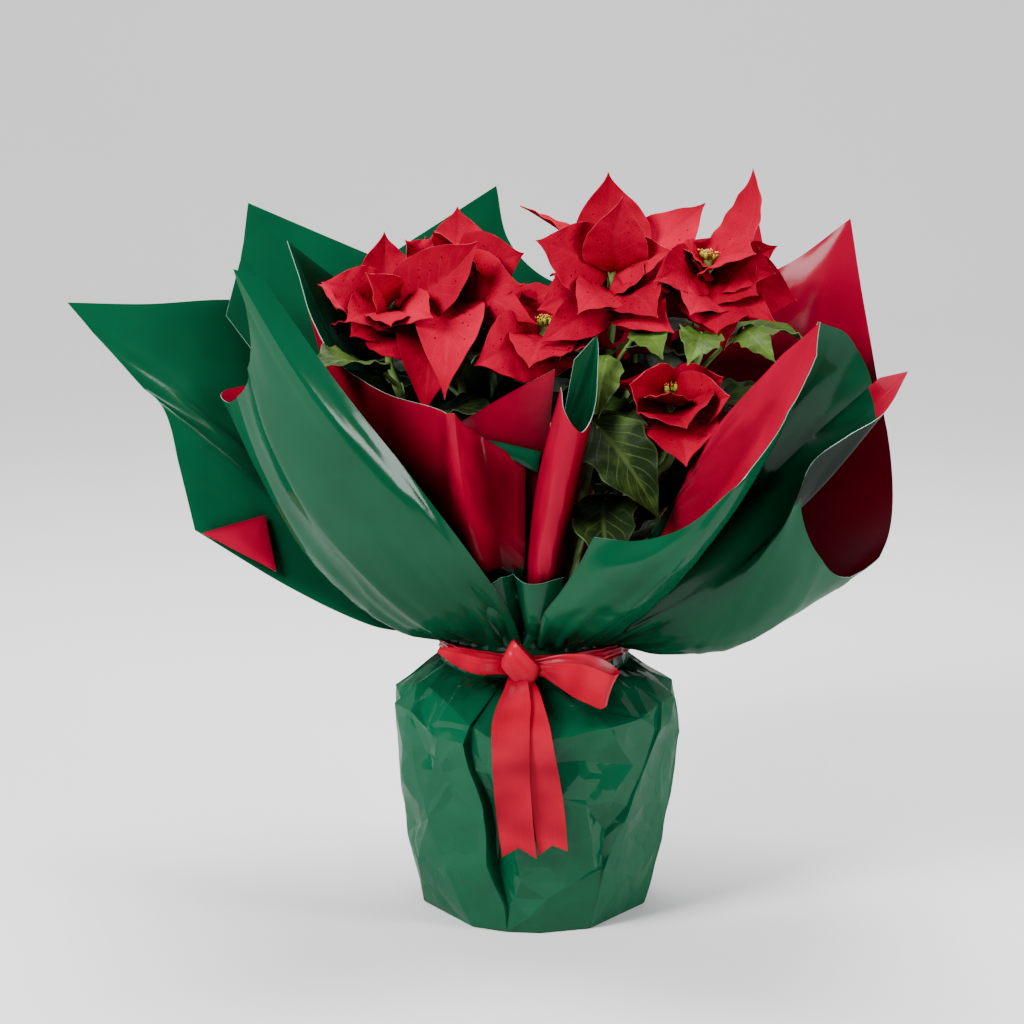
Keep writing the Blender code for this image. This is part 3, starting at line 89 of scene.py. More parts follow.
# Collar panels of the wrap. A panel is a list of ribs that run from the neck to the free edge.
# A rib is the angle of its root round the neck in degrees, seen from above with 0 at +X, and then
# the points that it passes.
PANELS = {
    "left_wing": [
        (190, [(-72, 0, 166), (-100, 5, 170), (-149, 15, 191), (-208, 25, 225)]),
        (183, [(-78, 8, 172), (-116, 18, 192), (-168, 32, 232), (-219, 42, 262)]),
        (176, [(-80, 14, 178), (-120, 26, 206), (-176, 42, 252), (-228, 54, 292)]),
        (170, [(-80, 22, 184), (-124, 40, 222), (-184, 58, 270), (-243, 64, 307)]),
        (162, [(-78, 32, 190), (-124, 58, 236), (-202, 82, 300), (-291, 76, 360)]),
        (152, [(-72, 44, 196), (-114, 76, 246), (-180, 100, 308), (-246, 98, 357)]),
        (142, [(-64, 54, 200), (-100, 90, 250), (-150, 116, 310), (-192, 118, 358)]),
        (132, [(-54, 62, 202), (-84, 98, 248), (-115, 124, 304), (-136, 130, 350)]),
    ],
    "left_roll": [
        (262, [(-14, -62, 190), (-34, -84, 226), (-66, -96, 272), (-110, -100, 330), (-151, -95, 388)]),
        (250, [(-28, -66, 190), (-52, -90, 226), (-88, -108, 278), (-130, -112, 334), (-167, -100, 394)]),
        (238, [(-42, -66, 188), (-70, -88, 220), (-106, -104, 270), (-140, -100, 320), (-160, -94, 364)]),
        (226, [(-56, -58, 184), (-86, -74, 212), (-122, -88, 258), (-148, -84, 304), (-160, -74, 341)]),
        (214, [(-66, -44, 178), (-94, -52, 198), (-130, -60, 240), (-154, -54, 284), (-169, -39, 319)]),
        (202, [(-72, -26, 172), (-98, -28, 184), (-136, -30, 222), (-165, -18, 270), (-183, 0, 307)]),
        (190, [(-72, -8, 172), (-100, -2, 188), (-136, 12, 228), (-166, 28, 272), (-190, 38, 309)]),
        (178, [(-68, 10, 180), (-92, 20, 204), (-122, 34, 244), (-146, 44, 284), (-162, 44, 314)]),
        (166, [(-62, 20, 190), (-82, 30, 218), (-104, 38, 254), (-120, 40, 288), (-132, 32, 316)]),
    ],
    "left_back": [
        (168, [(-76, 28, 206), (-128, 52, 270), (-164, 66, 316), (-192, 74, 352)]),
        (156, [(-70, 44, 212), (-118, 75, 284), (-156, 98, 340), (-186, 110, 388)]),
        (146, [(-62, 56, 216), (-106, 92, 294), (-144, 118, 360), (-183, 130, 419)]),
        (134, [(-52, 66, 216), (-84, 104, 290), (-110, 126, 346), (-138, 138, 399)]),
        (120, [(-36, 74, 214), (-60, 110, 280), (-78, 132, 332), (-94, 142, 380)]),
    ],
    "inner_left": [
        (110, [(-22, 62, 200), (-46, 86, 258), (-66, 98, 312), (-80, 98, 352)]),
        (126, [(-36, 56, 204), (-72, 78, 262), (-104, 88, 320), (-120, 84, 372)]),
        (142, [(-48, 44, 206), (-88, 60, 262), (-124, 70, 330), (-152, 62, 399)]),
        (158, [(-56, 28, 206), (-92, 34, 256), (-122, 40, 316), (-143, 36, 380)]),
        (174, [(-60, 12, 204), (-92, 10, 250), (-118, 8, 302), (-132, 0, 356)]),
        (190, [(-60, -6, 202), (-84, -14, 244), (-104, -24, 290), (-114, -30, 333)]),
        (208, [(-54, -24, 200), (-70, -36, 236), (-82, -46, 278), (-87, -50, 319)]),
        (226, [(-42, -38, 198), (-50, -50, 230), (-55, -60, 272), (-58, -68, 313)]),
        (240, [(-28, -50, 200), (-36, -66, 232), (-42, -76, 268), (-48, -78, 311)]),
        (248, [(-18, -50, 200), (-22, -54, 232), (-28, -52, 262), (-36, -46, 296)]),
        (256, [(-8, -50, 202), (-6, -50, 230), (-6, -46, 254), (-6, -42, 277)]),
    ],
    "inner_web": [
        (244, [(-24, -44, 205), (-32, -44, 245), (-40, -36, 276), (-44, -28, 299)]),
        (255, [(-12, -44, 210), (-14, -40, 250), (-16, -36, 286), (-17, -34, 316)]),
        (266, [(0, -46, 212), (4, -40, 256), (8, -38, 296), (11, -42, 332)]),
    ],
    "inner_tube": [
        (260, [(-6, -54, 200), (-4, -58, 230), (2, -62, 275), (14, -64, 324)]),
        (264, [(-2, -58, 200), (2, -68, 232), (10, -76, 275), (18, -79, 308)]),
        (270, [(6, -60, 202), (12, -70, 236), (19, -76, 272), (26, -76, 300)]),
        (276, [(14, -56, 206), (18, -60, 242), (26, -62, 280), (34, -58, 315)]),
        (280, [(14, -50, 208), (19, -48, 248), (28, -46, 296), (35, -40, 351)]),
        (276, [(6, -46, 208), (9, -44, 250), (14, -46, 292), (22, -48, 338)]),
    ],
    "front_gusset": [
        (242, [(-30, -62, 186), (-36, -70, 206)]),
        (254, [(-15, -64, 188), (-20, -72, 214)]),
        (266, [(-2, -64, 186), (-4, -70, 210)]),
        (280, [(12, -62, 186), (16, -66, 214)]),
    ],
    "front_trough": [
        (270, [(4, -68, 192), (14, -78, 208), (24, -88, 226), (32, -95, 243)]),
        (278, [(13, -72, 188), (28, -90, 206), (44, -106, 228), (57, -110, 244)]),
        (287, [(24, -72, 184), (44, -96, 206), (64, -116, 232), (84, -125, 256)]),
        (297, [(36, -68, 182), (60, -96, 206), (88, -122, 244), (115, -135, 288)]),
        (307, [(46, -60, 182), (72, -86, 208), (106, -116, 256), (137, -130, 318)]),
        (315, [(52, -52, 184), (80, -72, 216), (118, -100, 276), (150, -114, 346)]),
        (321, [(54, -44, 188), (84, -58, 228), (124, -78, 294), (157, -92, 364)]),
        (313, [(48, -40, 194), (74, -50, 238), (106, -64, 290), (135, -72, 339)]),
        (303, [(40, -42, 196), (66, -48, 234), (88, -56, 272), (106, -60, 304)]),
        (293, [(32, -44, 194), (60, -48, 220), (80, -50, 244), (88, -48, 272)]),
    ],
    "right_fold": [
        (316, [(56, -36, 200), (98, -56, 254), (136, -66, 312), (160, -60, 361)]),
        (324, [(62, -30, 200), (108, -48, 254), (152, -58, 306), (180, -46, 351)]),
        (332, [(66, -24, 196), (114, -42, 240), (160, -50, 286), (195, -38, 322)]),
        (340, [(68, -16, 190), (116, -32, 226), (158, -42, 264), (192, -36, 292)]),
    ],
    "right_roll": [
        (300, [(46, -58, 190), (86, -76, 226), (140, -84, 284), (197, -52, 328)]),
        (304, [(50, -60, 186), (92, -82, 220), (150, -94, 278), (210, -72, 334)]),
        (308, [(54, -60, 182), (96, -84, 212), (154, -102, 268), (194, -92, 313)]),
        (313, [(58, -58, 178), (96, -84, 204), (142, -106, 258), (172, -106, 302)]),
        (318, [(62, -56, 174), (98, -82, 196), (134, -108, 246), (151, -116, 288)]),
        (323, [(65, -53, 170), (102, -78, 186), (134, -100, 228), (146, -110, 266)]),
        (328, [(68, -48, 167), (106, -70, 176), (142, -86, 206), (157, -90, 235)]),
        (334, [(70, -40, 165), (108, -56, 170), (148, -60, 190), (180, -50, 211)]),
        (344, [(72, -22, 167), (116, -28, 176), (168, -18, 198), (211, 0, 221)]),
        (356, [(72, -2, 174), (124, 6, 200), (182, 24, 232), (221, 42, 254)]),
        (8, [(70, 18, 180), (124, 36, 224), (178, 60, 276), (215, 82, 316)]),
        (20, [(66, 34, 184), (116, 60, 240), (168, 90, 308), (207, 106, 372)]),
        (32, [(60, 46, 188), (104, 76, 250), (158, 106, 328), (201, 112, 410)]),
        (44, [(50, 56, 192), (84, 90, 258), (124, 116, 322), (162, 122, 380)]),
        (56, [(40, 64, 194), (64, 98, 258), (88, 122, 318), (112, 130, 360)]),
    ],
    "back_right": [
        (76, [(16, 76, 206), (28, 112, 276), (40, 134, 336), (52, 142, 376)]),
        (66, [(32, 74, 208), (56, 108, 280), (76, 134, 344), (90, 144, 392)]),
        (54, [(46, 68, 208), (80, 102, 280), (108, 132, 344), (128, 146, 398)]),
        (44, [(56, 62, 206), (94, 96, 272), (124, 128, 334), (146, 142, 406)]),
        (36, [(62, 54, 202), (104, 86, 258), (134, 118, 312), (152, 134, 372)]),
    ],
    "back_centre": [
        (126, [(-46, 64, 210), (-78, 104, 276), (-98, 134, 334), (-104, 146, 376)]),
        (120, [(-42, 68, 212), (-68, 110, 280), (-84, 138, 342), (-88, 150, 388)]),
        (114, [(-36, 72, 214), (-54, 114, 286), (-62, 142, 348), (-60, 152, 406)]),
        (103, [(-24, 78, 216), (-34, 120, 296), (-34, 146, 368), (-24, 154, 429)]),
        (93, [(-8, 80, 216), (-10, 122, 290), (-12, 146, 346), (-16, 150, 394)]),
        (81, [(10, 80, 214), (12, 120, 280), (12, 142, 332), (8, 144, 370)]),
        (68, [(28, 76, 210), (36, 112, 270), (42, 132, 320), (46, 136, 360)]),
    ],
}

# Blooms: the middle of each flower head, its stem's foot in the soil, the bracts that are placed one
# by one as (tip, width, arch, fold, roll), and how many more are placed by rule.
# Arch lifts the midrib above its chord and fold lifts the edges above the midrib, both as shares of
# the length, and a minus sign turns them down. Roll turns the upper face to the front, in degrees.
BLOOMS = {
    "left": {
        "centre": (-87, 14, 366),
        "foot": (-24, 4),
        "bracts": [
            ((-126, -6, 379), 27, 0.08, 0.08, 55),
            ((-99, -22, 386), 22, 0.08, 0.14, 60),
            ((-91, 38, 406), 28, -0.16, 0.08, 0),
            ((-34, -6, 403), 32, -0.10, 0.14, 50),
            ((-60, -26, 356), 28, 0.10, 0.04, 45),
            ((-84, -34, 356), 24, 0.12, -0.05, 20),
            ((-111, -22, 357), 26, 0.10, 0.04, 40),
        ],
        "more": 1,
    },
    "middle": {
        "centre": (-50, 36, 384),
        "foot": (-12, 14),
        "bracts": [
            ((-67, 60, 402), 20, -0.10, 0.08, 20),
            ((-46, 60, 417), 30, -0.16, 0.10, 10),
            ((-8, 22, 398), 36, 0.06, 0.06, 55),
            ((-8, 4, 372), 32, 0.12, 0.05, 65),
            ((2, -8, 360), 20, 0.16, -0.05, 60),
            ((-68, -34, 312), 36, 0.20, 0.08, 35),
            ((-41, -32, 304), 32, 0.18, 0.08, 35),
        ],
        "more": 2,
    },
    "low_middle": {
        "centre": (6, 8, 350),
        "foot": (2, -14),
        "bracts": [
            ((-36, -26, 332), 36, 0.14, 0.06, 62),
            ((-29, 4, 358), 26, 0.10, 0.06, 40),
            ((14, -24, 332), 24, 0.12, 0.05, 45),
        ],
        "more": 3,
    },
    "top_right": {
        "centre": (46, 16, 386),
        "foot": (12, 4),
        "bracts": [
            ((0, -12, 404), 34, 0.04, 0.06, 60),
            ((-9, 30, 422), 16, 0.05, 0.05, 0),
            ((44, 34, 442), 36, -0.22, 0.10, 0),
            ((100, 44, 428), 36, -0.08, 0.06, 35),
            ((80, -4, 398), 24, 0.06, 0.12, 45),
            ((71, -28, 360), 30, 0.12, 0.05, 40),
            ((81, -24, 351), 24, 0.12, 0.04, 50),
            ((24, -26, 366), 26, 0.12, 0.06, 30),
            ((1, 0, 362), 30, 0.10, 0.05, 50),
            ((1, -20, 344), 22, 0.10, 0.04, 60),
        ],
        "more": 1,
    },
    "far_right": {
        "centre": (104, 24, 388),
        "foot": (26, 10),
        "bracts": [
            ((131, 36, 444), 28, -0.18, 0.12, 5),
            ((66, 40, 412), 28, -0.06, 0.06, 30),
            ((69, -14, 380), 26, 0.06, 0.08, 65),
            ((90, -22, 365), 30, 0.08, 0.05, 65),
            ((106, -26, 362), 34, 0.10, -0.08, 50),
            ((157, 16, 366), 34, 0.08, 0.05, 55),
            ((112, -18, 346), 22, 0.12, 0.05, 35),
            ((141, -8, 356), 20, 0.10, 0.05, 35),
            ((146, 30, 398), 26, -0.06, 0.06, 40),
        ],
        "more": 1,
    },
    "low_right": {
        "centre": (79, -22, 314),
        "foot": (22, -10),
        "bracts": [
            ((54, -44, 323), 28, -0.10, 0.20, 70),
            ((63, -34, 336), 26, -0.10, 0.18, 60),
            ((86, -30, 336), 26, -0.12, 0.18, 50),
            ((104, -34, 334), 26, -0.10, 0.18, 60),
            ((112, -48, 317), 28, -0.10, 0.20, 70),
            ((86, -62, 300), 36, 0.06, 0.22, 58),
        ],
        "more": 0,
    },
    "back_left": {
        "centre": (-26, 84, 352),
        "foot": (-8, 26),
        "bracts": [],
        "more": 9,
    },
    "back_right": {
        "centre": (62, 78, 358),
        "foot": (16, 24),
        "bracts": [],
        "more": 9,
    },
}
BRACT_SEED = 21
# The rule's bracts take these layers in turn: pitch above the level and length, each as a range,
# then width and arch.
BRACT_LAYERS = [
    ((6, 20), (46, 54), 30, 0.10),
    ((-22, -8), (48, 56), 32, 0.14),
    ((32, 46), (34, 42), 24, -0.12),
]

# Leaves that are placed one by one: stem, share of the stem's height, blade's base, tip, width,
# arch, fold and roll.
PLACED_LEAVES = [
    ("left", 0.86, (-86, -8, 357), (-92, -30, 322), 20, 0.10, 0.08, 60),
    ("middle", 0.84, (-44, 20, 366), (-4, 12, 360), 28, 0.12, 0.06, 65),
    ("top_right", 0.86, (52, -4, 364), (44, -30, 334), 24, 0.14, 0.06, 60),
    ("top_right", 0.84, (60, -6, 352), (74, -30, 336), 24, 0.12, 0.06, 55),
    ("far_right", 0.82, (98, -8, 350), (122, -34, 334), 28, 0.12, 0.08, 60),
    ("far_right", 0.84, (122, 0, 352), (140, -26, 334), 22, 0.14, -0.05, 40),
    ("top_right", 0.78, (42, -24, 338), (34, -50, 308), 24, 0.12, 0.08, 60),
    ("low_middle", 0.60, (32, -38, 302), (58, -64, 240), 42, 0.14, 0.05, 60),
]
LEAVES_PER_STEM = 3
LEAVES_PER_LOW_STEM = 2
LOW_STEM = 355
LEAF_LENGTH = (48, 72)
LEAF_HEIGHT = (0.30, 0.84)
LEAF_SEED = 8
GOLDEN_ANGLE = 137.5
# Turns that a blade tries, in degrees up and sideways, until it is clear of its neighbours
BENDS = [
    (0, 0), (6, 0), (-6, 0), (0, 8), (0, -8), (12, 0), (-12, 0), (9, 14), (9, -14), (-9, 14), (-9, -14),
    (20, 0), (-20, 0), (16, 24), (16, -24), (-16, 24), (-16, -24), (30, 0), (-30, 0), (24, 40), (24, -40),
    (-24, 40), (-24, -40), (44, 0), (40, 60), (40, -60), (0, 60), (0, -60), (56, 30), (56, -30), (66, 0),
]
SMALL_BENDS = [
    (0, 0), (5, 0), (-5, 0), (0, 6), (0, -6), (10, 0), (-10, 0), (8, 10), (8, -10), (-8, 10), (-8, -10),
    (15, 0), (-15, 0), (0, 14), (0, -14),
]
# How much smaller a blade is made, in turn, where no turn of it comes clear
SHRINKS = (1.0, 0.82, 0.66)


def smooth_path(points, count, even=True):
    """A smooth curve through the points, read at equal steps of its length.

    With even off, count is the number of steps from each point to the next, so that every one of
    the points is among those that are read.
    """
    points = np.asarray(points, float)
    steps = np.linalg.norm(np.diff(points, axis=0), axis=1)
    knots = np.concatenate([[0.0], np.cumsum(steps)])
    slopes = np.empty_like(points)
    slopes[1:-1] = (points[2:] - points[:-2]) / (knots[2:] - knots[:-2])[:, None]
    slopes[0] = (points[1] - points[0]) / steps[0]
    slopes[-1] = (points[-1] - points[-2]) / steps[-1]
    if even:
        wanted = np.linspace(0.0, knots[-1], count)
    else:
        wanted = np.interp(np.arange(len(steps) * count + 1) / count, range(len(knots)), knots)
    at = np.clip(np.searchsorted(knots, wanted, side="right") - 1, 0, len(steps) - 1)
    span = steps[at][:, None]
    t = ((wanted - knots[at]) / steps[at])[:, None]
    return (
        (2 * t**3 - 3 * t**2 + 1) * points[at]
        + (t**3 - 2 * t**2 + t) * span * slopes[at]
        + (-2 * t**3 + 3 * t**2) * points[at + 1]
        + (t**3 - t**2) * span * slopes[at + 1]
    )


def root_point(angle):
    turn = math.radians(angle)
    return (ROOT_RADIUS * math.cos(turn), ROOT_RADIUS * math.sin(turn), ROOT_HEIGHT)


def across_ribs(paths):
    """Rows of points from the first rib to the last, with the steps between the ribs filled in."""
    columns = [smooth_path(paths[:, step], STEPS_BETWEEN_RIBS, even=False) for step in range(STEPS_ALONG)]
    return np.stack(columns, axis=1)


def panel_surface(ribs, corners):
    """Points of a panel, row by row from its first rib to its last.

    The ribs whose numbers are among the corners end in a sharp corner of the free edge.
    """
    paths = np.array([smooth_path([root_point(angle)] + points, STEPS_ALONG) for angle, points in ribs])
    stops = [0, *corners, len(ribs) - 1]
    runs = [across_ribs(paths[first : last + 1]) for first, last in zip(stops, stops[1:])]
    pointed = np.concatenate([runs[0]] + [run[1:] for run in runs[1:]])
    share = np.linspace(0.0, 1.0, STEPS_ALONG)[None, :, None] ** CORNER_FADE
    return across_ribs(paths) * (1.0 - share) + pointed * share


Blade = namedtuple("Blade", "base tip width arch fold roll sway")


def blade_axes(blade):
    """Along the blade, across it and out of its upper face."""
    ahead = np.subtract(blade.tip, blade.base)
    ahead = ahead / np.linalg.norm(ahead)
    turn = math.radians(blade.roll)
    side = np.cross(ahead, (0.0, -math.sin(turn), math.cos(turn)))
    if np.linalg.norm(side) < 0.15:
        side = np.cross(ahead, (0.0, -1.0, 0.0))
    side = side / np.linalg.norm(side)
    return ahead, side, np.cross(side, ahead)


def blade_rows(blade, outline):
    """Rows of left edge, midrib and right edge points along a leaf or bract."""
    chord = np.subtract(blade.tip, blade.base)
    length = np.linalg.norm(chord)
    side, normal = blade_axes(blade)[1:]
    rows = []
    for share, half in outline:
        rise = 4 * share * (1 - share) * blade.arch * length
        middle = blade.base + chord * share + normal * rise
        lift = normal * blade.fold * length * half
        wave = normal * blade.sway * math.sin(share * 9.0)
        reach = side * half * blade.width / 2
        rows.append([middle - reach + lift + wave, middle, middle + reach + lift - wave])
    return np.array(rows)


def blade_mesh(rows, thickness):
    """A closed blade: the surface moved half its thickness to each side, and the sides joined.

    The last row is one point, the tip. Both faces are split into the same triangles.
    """
    count = len(rows) - 1
    surface = [p for row in rows[:-1] for p in row] + [rows[-1][1]]
    surface = np.array(surface)
    faces = []
    for row in range(count - 1):
        a, b, c = 3 * row, 3 * row + 1, 3 * row + 2
        faces += [(a, b, a + 3), (b, b + 3, a + 3), (b, c, c + 3), (b, c + 3, b + 3)]
    a, b, c, end = 3 * (count - 1), 3 * (count - 1) + 1, 3 * (count - 1) + 2, 3 * count
    faces += [(a, b, end), (b, c, end)]
    normals = np.zeros_like(surface)
    for i, j, k in faces:
        n = np.cross(surface[j] - surface[i], surface[k] - surface[i])
        normals[[i, j, k]] += n
    normals /= np.linalg.norm(normals, axis=1)[:, None]
    upper = surface + normals * thickness / 2
    lower = surface - normals * thickness / 2
    shift = len(surface)
    left = [3 * row for row in range(count)]
    right = [3 * row + 2 for row in range(count)]
    border = [1] + right + [end] + left[::-1]
    solid = list(faces) + [(k + shift, j + shift, i + shift) for i, j, k in faces]
    for i, j in zip(border, border[1:] + border[:1]):
        solid += [(j, i, i + shift), (j, i + shift, j + shift)]
    return np.concatenate([upper, lower]), solid


def tree_of(vertices, faces):
    return BVHTree.FromPolygons([tuple(v) for v in vertices], faces)


def tree_of_object(obj):
    mesh = obj.data
    mesh.calc_loop_triangles()
    vertices = [tuple(c / MM for c in v.co) for v in mesh.vertices]
    return BVHTree.FromPolygons(vertices, [tuple(t.vertices) for t in mesh.loop_triangles])


class Crowd:
    """What already fills the space, so that the next blade can be bent clear of it."""

    def __init__(self):
        self.filled = []

    def add(self, owner, tree):
        self.filled.append((owner, tree))

    def blocks(self, tree, owner=None):
        """Whether the tree meets anything that belongs to another owner."""
        return any(other != owner and tree.overlap(taken) for other, taken in self.filled)


def turned_tip(base, tip, up, sideways, shrink):
    base, tip = Vector(base), Vector(tip)
    chord = (tip - base) * shrink
    level = chord.cross(Vector((0, 0, 1)))
    if level.length < 1e-6:
        level = Vector((0, 1, 0))
    chord.rotate(Matrix.Rotation(math.radians(up), 3, level))
    chord.rotate(Matrix.Rotation(math.radians(sideways), 3, "Z"))
    return tuple(base + chord)


def place_blade(crowd, owner, blade, outline, apart, bends=BENDS, shrinks=SHRINKS):
    """The blade, bent clear of what is there, or None where nothing fits.

    Where apart is set, it is also kept clear of its own node's blades, but for its base.
    """
    for shrink in shrinks:
        for up, sideways in bends:
            tip = turned_tip(blade.base, blade.tip, up, sideways, shrink)
            bent = blade._replace(tip=tip, width=blade.width * shrink)
            rows = blade_rows(bent, outline)
            wide = tree_of(*blade_mesh(rows, BLADE_THICK + BLADE_CLEAR))
            if crowd.blocks(wide, owner):
                continue
            if apart and crowd.blocks(tree_of(*blade_mesh(rows[1:], BLADE_THICK + BLADE_CLEAR))):
                continue
            crowd.add(owner, wide)
            return bent
    return None


def stem_path(bloom):
    """From the stem's foot in its hole, up through the neck and out to the flower head."""
    foot, centre = bloom["foot"], bloom["centre"]
    bottom = SOIL_TOP - STEM_HOLE_DEPTH + CLEARANCE
    top = centre[2] - HUB_BELOW - 2.5 * CLEARANCE
    waist = (foot[0] * 1.25, foot[1] * 1.25, 185)
    bend = (centre[0] * 0.55 + foot[0] * 0.4, centre[1] * 0.55 + foot[1] * 0.4, 250)
    return [
        (foot[0], foot[1], bottom), (foot[0], foot[1], SOIL_TOP + 12), waist, bend,
        (centre[0], centre[1], top - 14), (centre[0], centre[1], top),
    ]


def stalk_mesh(start, end, radius, sides=5):
    """A thin straight stalk with closed ends."""
    start, end = Vector(start), Vector(end)
    ahead = (end - start).normalized()
    side = ahead.orthogonal().normalized()
    other = ahead.cross(side)
    vertices = []
    for centre in (start, end):
        for step in range(sides):
            turn = 2 * math.pi * step / sides
            vertices.append(tuple(centre + (side * math.cos(turn) + other * math.sin(turn)) * radius))
    faces = [tuple(reversed(range(sides))), tuple(range(sides, 2 * sides))]
    for step in range(sides):
        beside = (step + 1) % sides
        faces.append((step, beside, sides + beside, sides + step))
    return vertices, faces


def rooted_bract(centre, tip, width, arch, fold, roll, sway):
    """A bract from the hub to its tip. The lower the tip, the lower on the hub is its base."""
    lean = np.subtract(tip, centre)
    low = min(max(0.45 * lean[2] - 4.0, 4.0 - HUB_BELOW), -4.0)
    out = np.array([lean[0], lean[1], 0.0]) / np.hypot(lean[0], lean[1])
    base = np.array(centre) + out * HUB_RADIUS * 0.6 + (0.0, 0.0, low)
    return Blade(base, tip, width, arch, fold, roll, sway)


def rule_bract(centre, step, start, draws, layers=BRACT_LAYERS):
    """One bract of the ring that fills a flower head, a golden angle on from the last."""
    pitches, lengths, width, arch = layers[step % len(layers)]
    turn = math.radians(start + GOLDEN_ANGLE * step)
    pitch = math.radians(draws.uniform(*pitches))
    length = draws.uniform(*lengths)
    level = length * math.cos(pitch)
    tip = np.array(centre) + (level * math.cos(turn), level * math.sin(turn), length * math.sin(pitch))
    roll = 20.0 - 20.0 * math.sin(turn)
    return rooted_bract(centre, tip, width, arch, draws.uniform(0.0, 0.1), roll, draws.uniform(0.4, 1.2))


def place_bracts(crowd):
    """The bracts of each flower head: those placed one by one, then those that fill the rings."""
    placed = {name: [] for name in BLOOMS}
    for name, bloom in BLOOMS.items():
        owner = "bloom_" + name
        for step, (tip, *shape) in enumerate(bloom["bracts"]):
            bract = rooted_bract(bloom["centre"], tip, *shape, 0.5 + 0.2 * (step % 4))
            bent = place_blade(crowd, owner, bract, BRACT_OUTLINE, True, SMALL_BENDS, SHRINKS[:1])
            placed[name].append(bent or place_blade(crowd, owner, bract, BRACT_OUTLINE, False))
    for name, bloom in BLOOMS.items():
        draws = random.Random(f"{BRACT_SEED} {name}")
        start = draws.uniform(0, 360)
        for step in range(bloom["more"]):
            bract = rule_bract(bloom["centre"], step, start, draws)
            placed[name].append(place_blade(crowd, "bloom_" + name, bract, BRACT_OUTLINE, True))
    return {name: [bract for bract in bracts if bract] for name, bracts in placed.items()}


def stem_point(name, share):
    """The point at a share of a stem's length."""
    return smooth_path(stem_path(BLOOMS[name]), LAST_JOINT + 1)[int(share * LAST_JOINT)]


def rule_leaf(name, share, turn, draws):
    """A leaf that leaves its stem at a share of its length, towards an angle seen from above."""
    length = draws.uniform(*LEAF_LENGTH) * (0.7 + 0.4 * share)
    droop = draws.uniform(-0.35, 0.1)
    out = np.array([math.cos(turn), math.sin(turn), 0.0])
    base = stem_point(name, share) + out * 17 + (0.0, 0.0, 9.0)
    tip = base + out * length + (0.0, 0.0, droop * length)
    return Blade(base, tip, length * draws.uniform(0.5, 0.62), 0.12, 0.06, 20.0, 0.9)


def place_leaves(crowd):
    """The leaves of each stem, as pairs of a joint on the stem and a blade."""
    placed = {name: [] for name in BLOOMS}

    def add_leaf(name, share, leaf):
        joint = stem_point(name, share)
        owner = "leafy_stem_" + name
        if crowd.blocks(tree_of(*stalk_mesh(joint, leaf.base, STALK_RADIUS + BLADE_CLEAR)), owner):
            return
        bent = place_blade(crowd, owner, leaf, LEAF_OUTLINE, True)
        if not bent:
            return
        stalk = tree_of(*stalk_mesh(joint, stalk_end(bent), STALK_RADIUS + BLADE_CLEAR))
        if crowd.blocks(stalk, owner):
            crowd.filled.pop()
        else:
            crowd.add(owner, stalk)
            placed[name].append((joint, bent))

    for name, share, *shape in PLACED_LEAVES:
        add_leaf(name, share, Blade(*shape, 0.8))
    low, high = LEAF_HEIGHT
    for name, bloom in BLOOMS.items():
        draws = random.Random(f"{LEAF_SEED} {name}")
        start = draws.uniform(0, 360)
        count = LEAVES_PER_LOW_STEM if bloom["centre"][2] < LOW_STEM else LEAVES_PER_STEM
        for step in range(count):
            share = low + (high - low) * (step + 0.5) / count
            add_leaf(name, share, rule_leaf(name, share, math.radians(start + GOLDEN_ANGLE * step), draws))
    return placed


def stalk_end(blade):
    """A point on the midrib, inside the blade, where its stalk ends."""
    rows = blade_rows(blade, LEAF_OUTLINE)
    return rows[0][1] * 0.4 + rows[1][1] * 0.6


# Film as it is seen: its thickness, and the steps of a panel's net across and along its ribs
SHEET_THICK = 0.35
STEPS_BETWEEN_RIBS = 9
STEPS_ALONG = 64
# A panel's flat piece narrows to the neck, so its rectangle is at most this much bigger than it is
GORE_FILL = 2.0
# Which face of each panel is green: 1 is the face whose normal turns right round the neck, -1 the other
GREEN_FACE = {
    "left_wing": -1, "left_roll": 1, "left_back": -1, "inner_left": 1, "inner_web": 1, "inner_tube": 1,
    "front_gusset": -1, "front_trough": -1, "right_fold": -1, "right_roll": -1, "back_right": 1,
    "back_centre": -1,
}
# The ribs of each panel that end in a sharp corner, and how late on its way to the free edge the
# corner forms
PANEL_CORNERS = {
    "left_wing": (3, 4), "left_roll": (1,), "left_back": (2,), "inner_left": (2, 8), "inner_web": (),
    "inner_tube": (4,), "front_gusset": (1,), "front_trough": (6,), "right_fold": (), "right_roll": (1, 12),
    "back_right": (3,), "back_centre": (3,),
}
CORNER_FADE = 2.0
# Pleats at the tie: turns of their wave for each millimetre of the free edge, depth and reach
GATHER_PITCH = 0.16
GATHER_DEPTH = 1.3
GATHER_REACH = 0.22
# Crumpled facets of the panels: their width, how far their corners move, and how much longer they
# are than wide
FACET_SIZE = 30.0
FACET_RISE = 0.9
FACET_STRETCH = 1.7
# Folds that the eye picks out on the panels: where each starts at the neck and ends at the free edge,
# as shares of the way across, how far it stands out and how fast it falls away
PANEL_FOLDS = {
    "left_roll": [(0.36, 0.33, 2.6, 8.0), (0.52, 0.50, 2.0, 8.0), (0.16, 0.14, -1.4, 10.0)],
    "left_wing": [(0.42, 0.43, 1.8, 10.0), (0.22, 0.26, -1.6, 12.0)],
    "inner_left": [(0.82, 0.80, -2.4, 7.0), (0.66, 0.62, 1.4, 9.0)],
    "front_gusset": [(0.46, 0.46, 12.0, 5.5)],
    "front_trough": [(0.26, 0.30, -2.2, 7.0), (0.50, 0.55, -2.0, 9.0), (0.40, 0.44, 1.6, 8.0)],
    "right_roll": [(0.28, 0.30, -2.0, 7.0), (0.40, 0.44, -1.8, 9.0), (0.62, 0.60, 2.0, 9.0)],
    "right_fold": [(0.50, 0.42, 1.8, 9.0)],
}
# The height below which the inner left panel shows its outer layer, green
INNER_LAYER = 218.0
